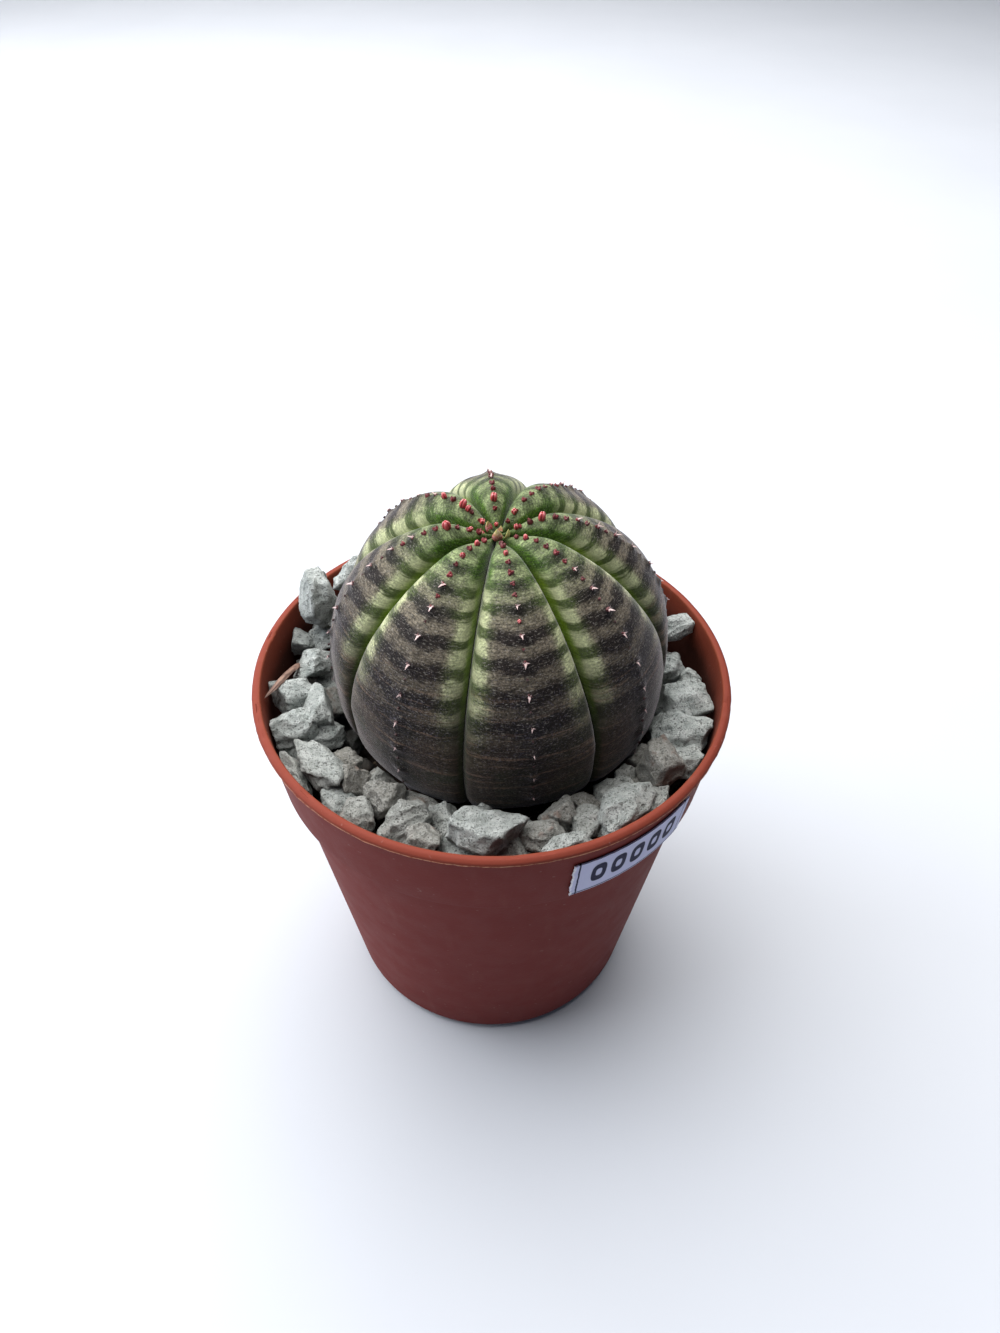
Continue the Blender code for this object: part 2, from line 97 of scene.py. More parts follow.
def tint(share, first, second, blend="MIX"):
    """Mix two colours; each is a socket or a plain (red, green, blue)."""
    first, second = [colour if isinstance(colour, bpy.types.NodeSocket) else (*colour, 1.0)
                     for colour in (first, second)]
    return put(find_socket((share, first)), "Mix", {0: share, 6: first, 7: second},
               data_type="RGBA", blend_type=blend).outputs[2]


clear_selection()
bpy.ops.mesh.primitive_plane_add(size=FLOOR_WIDTH)
floor = bpy.context.object
floor.name = "floor"
card, shader, place = new_finish("pale card", 0.85)
colour = tint(mottle(place, 60 * MM), (0.43, 0.45, 0.49), (0.47, 0.49, 0.53))
feed(shader, "Base Color", colour)
floor.data.materials.append(card)

# Light
# A large soft light overhead and a little behind the object, as under an overcast sky, with a weak
# cool one at the left and a pale cool fill from all round.

LIGHT_AIM = Vector((0, 0, 0.05))


def hang_light(place, size, power, colour):
    """A soft area light that faces the middle of the pot."""
    clear_selection()
    bpy.ops.object.light_add(type="AREA", location=place)
    light = bpy.context.object
    light.data.size = size
    light.data.energy = power
    light.data.color = colour
    light.rotation_euler = (LIGHT_AIM - light.location).to_track_quat("-Z", "Y").to_euler()
    return light


hang_light((-0.13, 0.20, 0.55), 1.0, 13.2, (1.0, 0.985, 0.96)).data.shape = "DISK"
hang_light((-0.46, 0.02, 0.26), 0.45, 2.2, (0.86, 0.92, 1.0))

fill = bpy.data.worlds.new("cool fill")
bpy.context.scene.world = fill
fill.use_nodes = True
background = fill.node_tree.nodes["Background"]
background.inputs["Color"].default_value = (0.66, 0.77, 1.0, 1.0)
background.inputs["Strength"].default_value = 0.14
bpy.context.scene.view_settings.view_transform = "Standard"

# Camera
# The photograph was taken from close by, looking down at 44 degrees, with a wide lens. The angles
# are in degrees.

CAMERA_PLACE = (0, -83.26 * MM, 130.8 * MM)
PAN = -0.643
LOOK_DOWN = 44.03
ROLL = 0.70

clear_selection()
bpy.ops.object.camera_add()
camera = bpy.context.object
camera.data.lens = 27.0
camera.data.sensor_width = 36.0
camera.matrix_world = (Matrix.Translation(CAMERA_PLACE)
                       @ Matrix.Rotation(math.radians(PAN), 4, "Z")
                       @ Matrix.Rotation(math.radians(90 - LOOK_DOWN), 4, "X")
                       @ Matrix.Rotation(math.radians(ROLL), 4, "Z"))
camera.data.clip_start = 0.005
bpy.context.scene.camera = camera

# Nursery pot
# A thin injection-moulded plastic cup: a rolled lip with a line of moulding flash, a collar, a
# small step, a wall that tapers to the foot, and drain holes. It is one piece, in terracotta brown.

POT_HEIGHT = 50.5 * MM
WALL = 0.5 * MM
LIP_RADIUS = 27.42 * MM
LIP_FOOT = 49.75 * MM
COLLAR_TOP_RADIUS = 26.88 * MM
COLLAR_FOOT_RADIUS = 25.75 * MM
STEP_TOP = 40.1 * MM
STEP_FOOT = 39.4 * MM
WALL_TOP_RADIUS = 24.6 * MM
FOOT_RADIUS = 19.6 * MM
FOOT_ROUNDING = 2.4 * MM
FOOT_RING = (15.6 * MM, 17.4 * MM)
FLOOR_LEVELS = (0.8 * MM, 1.8 * MM)
DRAIN_RADIUS = 2.2 * MM
DRAIN_RING = 9.5 * MM
DRILL_TURN = 3.4    # keeps the drill's corners off the edges of the floor
POT_STEPS = 240
CORNER_CUT = 0.16 * MM
CORNER_SHARE = 0.42    # of a side, the most that a rounded corner takes
WELD = 0.002 * MM


def round_corners(outline, cut, steps=3):
    """Round each corner of a closed outline, by at most cut from the corner along its sides."""
    rounded = []
    for number, corner in enumerate(outline):
        corner = Vector(corner)
        before = Vector(outline[number - 1]) - corner
        after = Vector(outline[(number + 1) % len(outline)]) - corner
        start = corner + before.normalized() * min(cut, CORNER_SHARE * before.length)
        end = corner + after.normalized() * min(cut, CORNER_SHARE * after.length)
        for step in range(steps + 1):
            share = step / steps
            rounded.append(start.lerp(corner, share).lerp(corner.lerp(end, share), share))
    return rounded


def spin_outline(name, outline, steps):
    """Lay a ring of edges along a section of the wall, spin it about Z and close the seam."""
    clear_selection()
    bpy.ops.mesh.primitive_circle_add(vertices=len(outline), radius=10 * MM)
    piece = bpy.context.object
    piece.name = name
    for vertex, (radius, height) in zip(piece.data.vertices, outline):
        vertex.co = (radius, 0.0, height)
    bpy.ops.object.mode_set(mode="EDIT")
    bpy.ops.mesh.select_all(action="SELECT")
    bpy.ops.mesh.spin(steps=steps, angle=math.tau, center=(0, 0, 0), axis=(0, 0, 1))
    bpy.ops.mesh.select_all(action="SELECT")
    bpy.ops.mesh.remove_doubles(threshold=WELD)
    bpy.ops.mesh.normals_make_consistent(inside=False)
    bpy.ops.object.mode_set(mode="OBJECT")
    return piece


def pick(piece):
    """Select one piece alone, and make it the active one."""
    clear_selection()
    piece.select_set(True)
    bpy.context.view_layer.objects.active = piece


def apply_modifier(piece, kind, **settings):
    pick(piece)
    modifier = piece.modifiers.new(kind.lower(), kind)
    for name, value in settings.items():
        setattr(modifier, name, value)
    bpy.ops.object.modifier_apply(modifier=modifier.name)


def smooth_faces(piece, degrees):
    pick(piece)
    bpy.ops.object.shade_smooth_by_angle(angle=math.radians(degrees))


def at_bearing(bearing, radius, height):
    angle = math.radians(bearing)
    return Vector((radius * math.sin(angle), -radius * math.cos(angle), height))


lip_inner = COLLAR_TOP_RADIUS - WALL
foot_turn = [(FOOT_RING[1] + (FOOT_RADIUS - FOOT_RING[1]) * math.cos(angle),
              FOOT_ROUNDING * (1 - math.sin(angle)))
             for angle in (math.radians(18 * step) for step in range(6))]
wall_section = [
    (lip_inner, POT_HEIGHT - 0.4 * MM),
    (lip_inner + 0.10 * MM, POT_HEIGHT - 0.05 * MM),
    (lip_inner + 0.35 * MM, POT_HEIGHT),
    (LIP_RADIUS - 0.38 * MM, POT_HEIGHT - 0.02 * MM),
    (LIP_RADIUS - 0.03 * MM, POT_HEIGHT - 0.30 * MM),
    (LIP_RADIUS - 0.01 * MM, LIP_FOOT + 0.20 * MM),
    (LIP_RADIUS + 0.05 * MM, LIP_FOOT + 0.10 * MM),
    (LIP_RADIUS - 0.15 * MM, LIP_FOOT),
    (COLLAR_TOP_RADIUS, LIP_FOOT + 0.02 * MM),
    (COLLAR_TOP_RADIUS - 0.06 * MM, LIP_FOOT - 0.5 * MM),
    (COLLAR_FOOT_RADIUS, STEP_TOP),
    (WALL_TOP_RADIUS + 0.12 * MM, STEP_FOOT + 0.05 * MM),
    (WALL_TOP_RADIUS, STEP_FOOT - 0.35 * MM),
    *foot_turn,
    (FOOT_RING[0], 0.0),
    (FOOT_RING[0] - 0.4 * MM, FLOOR_LEVELS[0]),
    (DRAIN_RADIUS, FLOOR_LEVELS[0]),
    (DRAIN_RADIUS, FLOOR_LEVELS[1]),
    (FOOT_RADIUS - WALL - 1.2 * MM, FLOOR_LEVELS[1]),
    (FOOT_RADIUS - WALL, FLOOR_LEVELS[1] + 1.2 * MM),
    (WALL_TOP_RADIUS - WALL, STEP_FOOT),
    (COLLAR_FOOT_RADIUS - WALL, STEP_TOP + 0.1 * MM),
]
pot = spin_outline("pot_shell", round_corners(wall_section, CORNER_CUT), POT_STEPS)

for number in range(4):
    middle = at_bearing(45 + 90 * number, DRAIN_RING, FLOOR_LEVELS[0])
    clear_selection()
    bpy.ops.mesh.primitive_cylinder_add(vertices=48, radius=DRAIN_RADIUS, depth=5 * MM,
                                        location=middle, rotation=(0, 0, math.radians(DRILL_TURN)))
    drill = bpy.context.object
    apply_modifier(pot, "BOOLEAN", operation="DIFFERENCE", object=drill)
    bpy.data.objects.remove(drill, do_unlink=True)
pick(pot)
bpy.ops.object.mode_set(mode="EDIT")
bpy.ops.mesh.select_all(action="SELECT")
bpy.ops.mesh.remove_doubles(threshold=WELD)
bpy.ops.object.mode_set(mode="OBJECT")

# The lip is never quite true: it waves a little, its flash is ragged, and it has small nicks
NICK_START = 0.42
NICK_DEPTH = 0.35 * MM
for vertex in pot.data.vertices:
    reach = math.hypot(vertex.co.x, vertex.co.y)
    outward = Vector((vertex.co.x, vertex.co.y, 0)).normalized()
    if vertex.co.z > LIP_FOOT - 0.05 * MM:
        vertex.co -= outward * 0.06 * MM * abs(noise.noise(outward * 2.2))
        vertex.co.z -= 0.05 * MM * abs(noise.noise(outward * 6 + Vector((3, 0, 0))))
    if reach > LIP_RADIUS - 0.02 * MM and vertex.co.z < LIP_FOOT + 0.2 * MM:
        ragged = noise.noise(outward * 31) + 0.6 * noise.noise(outward * 67)
        vertex.co += outward * 0.07 * MM * ragged
    nick = noise.noise(outward * 19 + Vector((0, 5, 0)))
    if nick > NICK_START and reach < lip_inner + 0.6 * MM and vertex.co.z > POT_HEIGHT - 0.2 * MM:
        vertex.co.z -= NICK_DEPTH * (nick - NICK_START) / 0.2
smooth_faces(pot, 40)

def fade(value, low, high, to_low=0.0, to_high=1.0):
    """A soft step: to_low below low, to_high above high."""
    limits = {"From Min": low, "From Max": high, "To Min": to_low, "To Max": to_high}
    return put(value, "MapRange", {"Value": value, **limits},
               interpolation_type="SMOOTHSTEP").outputs[0]


def calc(operation, *values):
    return put(find_socket(values), "Math", dict(enumerate(values)), operation=operation).outputs[0]


def times(first, second):
    return calc("MULTIPLY", first, second)


def raise_grain(shader, height, strength, depth):
    """Let a pattern stand out of the surface by at most depth."""
    bump = put(shader, "Bump", {"Height": height, "Strength": strength, "Distance": depth})
    feed(shader, "Normal", bump.outputs[0])


specks = bpy.data.node_groups.new("fine specks", "ShaderNodeTree")
specks.interface.new_socket(name="Vector", in_out="INPUT", socket_type="NodeSocketVector")
for name in ("Size", "Rarity", "Softness"):
    specks.interface.new_socket(name=name, in_out="INPUT", socket_type="NodeSocketFloat")
specks.interface.new_socket(name="Mask", in_out="OUTPUT", socket_type="NodeSocketFloat")
given = specks.nodes.new("NodeGroupInput").outputs
grain = put(specks, "TexNoise", {"Vector": given["Vector"], "Detail": 2.0,
                                 "Scale": calc("DIVIDE", 1.0, given["Size"])}).outputs["Fac"]
edge = calc("ADD", given["Rarity"], given["Softness"])
feed(specks.nodes.new("NodeGroupOutput"), "Mask", fade(grain, given["Rarity"], edge))


def add_specks(vector, size, rarity, softness=0.06):
    """Scattered small marks of about one size, fewer as rarity grows past 0.5."""
    return put(vector, "Group", {"Vector": vector, "Size": size, "Rarity": rarity,
                                 "Softness": softness}, node_tree=specks).outputs["Mask"]


plastic, shader, place = new_finish("terracotta brown plastic", 0.42)
height = put(shader, "SeparateXYZ", {0: place}).outputs["Z"]
flat = put(shader, "VectorMath", {0: place, 1: (1.0, 1.0, 0.0)}, operation="MULTIPLY").outputs[0]
reach = put(shader, "VectorMath", {0: flat}, operation="LENGTH").outputs["Value"]
cloud = mottle(place, 9 * MM)
colour = tint(cloud, (0.132, 0.0200, 0.0168), (0.153, 0.0250, 0.0208))
lip = fade(height, LIP_FOOT - 0.05 * MM, LIP_FOOT + 0.1 * MM)
# Painted light: the lip is painted a lighter orange, standing in for light that shines through the
# thin plastic.
colour = tint(times(lip, 0.8), colour, (0.182, 0.038, 0.022))
collar_line = fade(height, STEP_TOP, LIP_FOOT, COLLAR_FOOT_RADIUS, COLLAR_TOP_RADIUS)
inside = fade(calc("SUBTRACT", collar_line, reach), 0.15 * MM, 0.35 * MM)
inside = times(inside, fade(height, STEP_TOP, STEP_TOP + 1 * MM))
# Painted light: the inside of the collar is painted the same lighter orange, for light through the
# thin plastic.
colour = tint(times(inside, 0.8), colour, (0.178, 0.040, 0.021))
# Painted shade: the inside wall darkens nearly to black down towards the gravel, standing in for
# the shade that the plant and stones cast there.
painted_inner_shade = calc("ADD", height, times(mottle(place, 4 * MM), 2 * MM))
painted_inner_shade = times(inside, fade(painted_inner_shade, 46.8 * MM, 51.0 * MM, 0.92, 0.0))
colour = tint(painted_inner_shade, colour, (0.022, 0.008, 0.006))
flash = fade(height, LIP_FOOT + 0.10 * MM, LIP_FOOT + 0.24 * MM, 1.0, 0.0)
for share in (lip, fade(reach, LIP_RADIUS - 0.4 * MM, LIP_RADIUS - 0.2 * MM),
              fade(mottle(place, 0.5 * MM, 3.0), 0.30, 0.58, 0.1, 0.9)):
    flash = times(flash, share)
colour = tint(flash, colour, (0.48, 0.25, 0.16))
dust = times(add_specks(place, 0.7 * MM, 0.70), 0.08)
colour = tint(dust, colour, (0.62, 0.50, 0.46))
streaks = put(shader, "Mapping", {"Vector": place, "Scale": (1.0, 1.0, 0.18)}).outputs[0]
rub = fade(mottle(streaks, 2.2 * MM, 5.0), 0.55, 0.80)
colour = tint(times(rub, 0.05), colour, (0.45, 0.24, 0.20))
feed(shader, "Base Color", colour)
rough = fade(mottle(place, 3 * MM, 4.0), 0.3, 0.7, 0.60, 0.68)
feed(shader, "Roughness", rough)
raise_grain(shader, mottle(place, 0.35 * MM, 2.0), 0.45, 0.05 * MM)
shader.inputs["Specular IOR Level"].default_value = 0.10
pot.data.materials.append(plastic)
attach(pot, "root")
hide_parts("pot")

# Potting soil
# Dark peat mix that fills the pot up to the gravel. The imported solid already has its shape, so it
# keeps it, and loose crumbs of the same mix lie on its top between the stones.

SOIL_TOP = 38.3 * MM
CRUMB_COUNT = 90
CRUMB_SIZES = (0.8, 2.0)
CRUMB_RING = (16.5, 22.5)

peat, shader, place = new_finish("moist peat", 0.95)
colour = tint(mottle(place, 1.6 * MM, 5.0), (0.012, 0.008, 0.006), (0.055, 0.036, 0.024))
colour = tint(add_specks(place, 0.8 * MM, 0.66), colour, (0.20, 0.15, 0.10))
feed(shader, "Base Color", colour)
raise_grain(shader, mottle(place, 1.1 * MM, 5.0), 1.0, 0.5 * MM)
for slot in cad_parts["soil"].material_slots:
    slot.material = peat


def place_copy(pattern, place):
    """A copy of one modelled shape, with its own mesh, set in its place."""
    copy = pattern.copy()
    copy.data = pattern.data.copy()
    copy.data.transform(place)
    bpy.context.scene.collection.objects.link(copy)
    return copy


def join_copies(copies, name):
    clear_selection()
    for copy in copies:
        copy.select_set(True)
    bpy.context.view_layer.objects.active = copies[0]
    bpy.ops.object.join()
    copies[0].name = name
    return copies[0]


clear_selection()
bpy.ops.mesh.primitive_ico_sphere_add(subdivisions=2, radius=0.5)
crumb = bpy.context.object
for vertex in crumb.data.vertices:
    vertex.co *= 1 + 0.5 * noise.noise(vertex.co * 4.0)
rng = random.Random(7)
crumbs = []
for _ in range(CRUMB_COUNT):
    size = rng.uniform(*CRUMB_SIZES) * MM
    middle = at_bearing(rng.uniform(0, 360), rng.uniform(*CRUMB_RING) * MM, SOIL_TOP + 0.25 * size)
    turn = Matrix.Rotation(rng.uniform(0, math.tau), 4, Vector((rng.random(), rng.random(), 1)))
    squeeze = Matrix.Diagonal((size, size * rng.uniform(0.6, 0.9), size * rng.uniform(0.5, 0.8), 1))
    crumbs.append(place_copy(crumb, Matrix.Translation(middle) @ turn @ squeeze))
bpy.data.objects.remove(crumb, do_unlink=True)
soil_crumbs = join_copies(crumbs, "soil_crumbs")
smooth_faces(soil_crumbs, 50)
soil_crumbs.data.materials.append(peat)
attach(soil_crumbs, "root")

# Plant body
# One living globe of eight plump ribs that meet in narrow creases, with a row of small mounds down
# each crest, a hollow at the growing point and a taproot in the soil. It leans a little forward.

RIM_LEVEL = 50.1 * MM
PLANT_OFFSET = Vector((0.9 * MM, 2.3 * MM, RIM_LEVEL))
LEAN_FORWARD = math.radians(4.6)
LEAN_RIGHT = math.radians(-1.3)
WAIST_LEVEL = 2.7 * MM
BODY_RADIUS = 19.4 * MM
BODY_RISE = 18.9 * MM
BODY_DROP = 12.5 * MM
UPPER_POWERS = (1.09, 0.97)
LOWER_POWERS = (0.71, 0.50)
CROWN_DIP = 3.0 * MM
CROWN_DIP_RADIUS = 4.0 * MM
GROOVE_AT_WAIST = 0.026
GROOVE_AT_CROWN = 0.175
GROOVE_CLOSES_RADIUS = 1.3 * MM
CREASE_DEPTH = (0.38 * MM, 0.80 * MM)    # below, and how much more above
CREASE_WIDTH = 0.40 * MM
RIB_BEARINGS = (10.3, 52.5, 95.6, 140.5, 184.4, 231.9, 279.3, 326.4)
GROOVE_BEARINGS = (33.2, 78.7, 118.0, 162.5, 208.0, 255.6, 299.4, 347.9)
UNDERSIDE = math.radians(158)
TAPROOT = ((5.0 * MM, 12.9 * MM), (4.2 * MM, 15.0 * MM), (3.0 * MM, 20.0 * MM),
           (1.7 * MM, 25.0 * MM), (0.7 * MM, 28.5 * MM))
RIB_COLUMNS = 36
BODY_ROWS = 236
ROOT_ROWS = 6
LARGE_MOUND = (0.34 * MM, 0.62 * MM)    # height and width
SMALL_MOUND = (0.15 * MM, 0.45 * MM)

# How far along its crest each rib has its larger mounds, in mm from the growing point
LARGE_MOUNDS = (
    (1.3, 3.7, 6.5, 8.9, 11.2, 14.1, 16.8, 20.1, 23.5, 26.9, 30.5, 34.3),
    (2.7, 5.3, 7.7, 10.1, 12.7, 15.4, 18.4, 21.9, 25.3, 28.6, 32.4, 36.6),
    (1.3, 3.7, 6.3, 8.7, 11.1, 13.5, 16.1, 19.5, 22.6, 25.7, 29.4, 33.4),
    (1.9, 4.8, 7.2, 9.6, 11.8, 14.1, 16.8, 19.9, 23.2, 26.8, 30.6, 34.6),
    (3.1, 5.6, 8.0, 10.3, 12.6, 15.2, 18.0, 21.2, 24.6, 28.2, 32.0, 36.0),
    (1.2, 3.6, 6.1, 8.6, 11.4, 14.6, 18.0, 21.4, 24.9, 28.5, 32.4, 36.4),
    (2.0, 4.4, 6.6, 9.1, 11.6, 14.6, 17.7, 21.5, 25.3, 29.2, 33.1, 37.0),
    (2.5, 5.2, 7.6, 10.0, 12.5, 15.5, 18.6, 21.9, 25.3, 28.9, 32.8, 38.2),
)

plant_place = (Matrix.Translation(PLANT_OFFSET) @ Matrix.Rotation(LEAN_RIGHT, 4, "Y")
               @ Matrix.Rotation(LEAN_FORWARD, 4, "X"))


def crest_point(polar):
    """Radius and height of the crest line, from the growing point (0) to the underside (pi)."""
    radius_power, height_power = UPPER_POWERS if math.cos(polar) > 0 else LOWER_POWERS
    reach = BODY_RISE if math.cos(polar) > 0 else -BODY_DROP
    radius = BODY_RADIUS * abs(math.sin(polar)) ** radius_power
    height = WAIST_LEVEL + reach * abs(math.cos(polar)) ** height_power
    return radius, height - CROWN_DIP * math.exp(-(radius / CROWN_DIP_RADIUS) ** 2)


def skin_point(polar, bearing, flank, beside):
    """A point of the skin: flank is 0 on a crest and 1 in a groove, beside the way to it."""
    radius, level = crest_point(polar)
    upward = max(0.0, math.cos(polar))
    valley = 0.55 * flank ** 2 + 0.45 * flank ** 6
    opened = 1.0 - math.exp(-(radius / GROOVE_CLOSES_RADIUS) ** 2)
    depth = (GROOVE_AT_WAIST * flank ** 6 + GROOVE_AT_CROWN * upward * valley) * opened
    if math.cos(polar) > 0:
        level = WAIST_LEVEL + (level - WAIST_LEVEL) * (1.0 - 0.6 * depth)
    crease = math.exp(-(beside / CREASE_WIDTH) ** 2) + 0.25 * math.exp(-beside / (0.15 * MM))
    crease *= (CREASE_DEPTH[0] + CREASE_DEPTH[1] * upward) * opened * min(1.0, radius / (5 * MM))
    return at_bearing(bearing, radius * (1.0 - depth) - crease, level)


CREST_STEPS = 1600
crest_polars = [UNDERSIDE * step / CREST_STEPS for step in range(CREST_STEPS + 1)]
crest_line = [crest_point(polar) for polar in crest_polars]
crest_arcs = [0.0]
for (radius, level), (next_radius, next_level) in zip(crest_line, crest_line[1:]):
    crest_arcs.append(crest_arcs[-1] + math.hypot(next_radius - radius, next_level - level))


def crest_station(arc):
    """Polar angle and outward direction (radius, height) at a distance along the crest."""
    step = min(max(bisect.bisect(crest_arcs, arc), 1), CREST_STEPS)
    share = (arc - crest_arcs[step - 1]) / (crest_arcs[step] - crest_arcs[step - 1])
    polar = crest_polars[step - 1] + (crest_polars[step] - crest_polars[step - 1]) * share
    (radius, level), (next_radius, next_level) = crest_line[step - 1], crest_line[step]
    return polar, Vector((level - next_level, next_radius - radius)).normalized()


def band_number(rib, arc):
    """Counts the large mounds passed on the way down a crest, with the share of the next."""
    mounds = LARGE_MOUNDS[rib]
    after = min(max(bisect.bisect(mounds, arc), 1), len(mounds) - 1)
    before = mounds[after - 1]
    return after - 1 + (arc - before) / (mounds[after] - before)


def raised(along, across, height, width):
    """How high a mound stands at a distance along and across the crest from its middle."""
    return height * math.exp(-(along ** 2 + across ** 2) / width ** 2)


def mark(piece, name, values):
    """Keep one number for each point of a piece, for its material to read."""
    piece.data.attributes.new(name, "FLOAT", "POINT").data.foreach_set("value", values)


clear_selection()
bpy.ops.mesh.primitive_uv_sphere_add(segments=8 * RIB_COLUMNS, ring_count=BODY_ROWS, radius=1.0)
body = bpy.context.object
body.name = "plant_body"
skin_rows = BODY_ROWS - ROOT_ROWS
follows = {name: [] for name in ("across", "beside", "arc", "band", "patch", "rib")}
for vertex in body.data.vertices:
    row = round(math.acos(max(-1.0, min(1.0, vertex.co.z))) / math.pi * BODY_ROWS)
    turn = math.atan2(vertex.co.x, -vertex.co.y) / math.tau % 1.0
    rib, column = divmod(round(turn * 8 * RIB_COLUMNS) % (8 * RIB_COLUMNS), RIB_COLUMNS)
    share = 2.0 * column / RIB_COLUMNS
    groove = GROOVE_BEARINGS[rib]
    side = 1.0
    if share > 1.0:
        rib, share, side = (rib + 1) % 8, 2.0 - share, -1.0
    crest = RIB_BEARINGS[rib]
    flank = (0.55 * (share ** 3 - 2 * share ** 2 + share) + 3 * share ** 2 - 2 * share ** 3
             + 0.18 * (share ** 3 - share ** 2))
    swing = (groove - crest + 180.0) % 360.0 - 180.0
    bearing = crest + swing * flank
    down = row / skin_rows
    arc = crest_arcs[-1] * (0.86 * down + 0.14 * down * down)
    if row > skin_rows:
        down = (row - skin_rows) / ROOT_ROWS * (len(TAPROOT) - 1)
        near = min(int(down), len(TAPROOT) - 2)
        radius, depth = [above + (below - above) * (down - near)
                         for above, below in zip(TAPROOT[near], TAPROOT[near + 1])]
        vertex.co = at_bearing(bearing, 0.0 if row == BODY_ROWS else radius, WAIST_LEVEL - depth)
        arc = crest_arcs[-1] + 1 * MM
        across = beside = patch = 0.0
    else:
        polar, outward = crest_station(min(arc, crest_arcs[-1]))
        radius, level = crest_point(polar)
        half = radius * math.radians(abs(swing))
        across, beside = half * flank, half * (1.0 - flank)
        vertex.co = skin_point(polar, bearing, flank, beside) if row else Vector((0, 0, level))
        patch = mound = 0.0
        for number, station in enumerate(LARGE_MOUNDS[rib]):
            along = arc - station * MM
            if abs(along) < 4 * MM:
                grown = min(1.0, station / 9.0)
                mound += raised(along, across, *LARGE_MOUND) * grown
                patch = max(patch, math.exp(-(((along - 0.35 * MM) / (0.75 * MM)) ** 2
                                              + (across / (1.05 * MM)) ** 2)) * grown)
            if number:
                along = arc - 0.5 * (station + LARGE_MOUNDS[rib][number - 1]) * MM
                if abs(along) < 2 * MM:
                    mound += raised(along, across, *SMALL_MOUND)
        direction = at_bearing(bearing, outward.x, outward.y)
        lumps = noise.noise(vertex.co * 170) * 0.16 * MM + noise.noise(vertex.co * 420) * 0.05 * MM
        vertex.co += direction * (mound + lumps * min(1.0, radius / (5 * MM)) - 0.10 * MM)
    for name, value in (("across", across * side), ("beside", beside), ("arc", arc),
                        ("band", band_number(rib, arc / MM)), ("patch", patch),
                        ("rib", float(rib))):
        follows[name].append(value)
for name, values in follows.items():
    mark(body, name, values)
body.data.transform(plant_place)
smooth_faces(body, 60)


def read_mark(shader, name):
    return put(shader, "Attribute", attribute_name=name).outputs["Fac"]


def down_rib(start, end, to_low=0.0, to_high=1.0):
    """A soft step on the way down the ribs, between two distances in mm from the growing point."""
    return fade(arc, start * MM, end * MM, to_low, to_high)


def run_round(stretch):
    """A place for patterns that run round the ribs: the smaller stretch is, the longer they are."""
    spot = {0: times(across, stretch), 1: arc, 2: times(rib, 0.1)}
    return put(arc, "CombineXYZ", spot).outputs[0]


skin, shader, place = new_finish("velvety skin", 0.62)
across, beside, arc, band, patch, rib = [read_mark(shader, name) for name in follows]
width = calc("ABSOLUTE", across)
flank = calc("DIVIDE", width, calc("ADD", calc("ADD", width, beside), 0.01 * MM))
coarse = mottle(place, 2.4 * MM, 3.0)
medium = mottle(place, 0.7 * MM, 4.0, 0.65)
fine = mottle(place, 0.22 * MM, 3.0, 0.7)

# Soft cross bands, one to a large mound, dark at the mound's level and ragged at their edges
streaked = run_round(0.3)
feather = mottle(streaked, 0.55 * MM, 4.0, 0.65)
stray = times(calc("SUBTRACT", coarse, 0.5), 0.32)
fray = times(calc("SUBTRACT", feather, 0.5), 0.70)
level = calc("ADD", band, calc("ADD", stray, fray))
level = calc("SUBTRACT", level, fade(flank, 0.0, 0.5, 0.14, 0.0))
gap = calc("SUBTRACT", calc("FRACT", calc("ADD", level, 0.5)), 0.5)
gap = calc("ABSOLUTE", gap)
reach = calc("ADD", fade(flank, 0.1, 0.95, 0.27, 0.20), down_rib(12, 27, 0.0, 0.10))
stripe = calc("SUBTRACT", 1.0, fade(calc("DIVIDE", gap, reach), 0.45, 1.45))
strength = times(down_rib(1.5, 9, 0.30, 0.95), down_rib(24, 32, 1.0, 0.40))
stripe = times(stripe, strength)

high = down_rib(7.5, 10.5, 1.0, 0.0)
edge = tint(high, (0.300, 0.320, 0.180), (0.040, 0.084, 0.009))
young = down_rib(8, 15, 1.0, 0.0)
middle = tint(young, (0.132, 0.120, 0.080), (0.136, 0.176, 0.076))
border = calc("ADD", flank, times(calc("SUBTRACT", medium, 0.5), 0.10))
pale = tint(fade(border, 0.56, 0.76), middle, edge)
brown = tint(down_rib(12, 24), (0.099, 0.083, 0.063), (0.034, 0.026, 0.020))
ridge = fade(flank, 0.45, 0.74, 1.0, 0.0)
wash = times(ridge, down_rib(5, 15, 0.10, 0.90))
wash = calc("MAXIMUM", wash, down_rib(17, 27, 0.0, 0.92))
between = tint(wash, pale, brown)
dark = tint(down_rib(6, 14), (0.034, 0.052, 0.016), (0.0075, 0.0052, 0.0048))
shade_green = tint(high, (0.046, 0.068, 0.017), (0.030, 0.060, 0.010))
aside = calc("ADD", flank, down_rib(9, 16, 0.24, 0.0))
greener = times(fade(aside, 0.46, 0.94, 0.0, 0.88), down_rib(18, 26, 1.0, 0.15))
dark = tint(greener, dark, shade_green)
colour = tint(stripe, between, dark)
low = down_rib(23, 31, 0.0, 0.72)
foot = tint(fade(mottle(place, 5 * MM), 0.42, 0.60), (0.040, 0.028, 0.020), (0.022, 0.026, 0.013))
colour = tint(low, colour, foot)
ragged_arc = calc("ADD", arc, times(coarse, 6 * MM))
shadow = times(fade(flank, 0.05, 0.45, 0.75, 0.0), fade(ragged_arc, 23 * MM, 27 * MM))
shadow = times(shadow, fade(medium, 0.35, 0.65, 0.5, 1.0))
colour = tint(shadow, colour, (0.008, 0.008, 0.010))
colour = tint(times(patch, 0.80), colour, (0.013, 0.010, 0.010))

# Fine tan scratches run round the lower half
scratch = fade(mottle(run_round(0.06), 0.65 * MM, 5.0, 0.60), 0.53, 0.66)
scratch = times(scratch, down_rib(16, 27, 0.0, 0.46))
colour = tint(scratch, colour, (0.19, 0.125, 0.085))

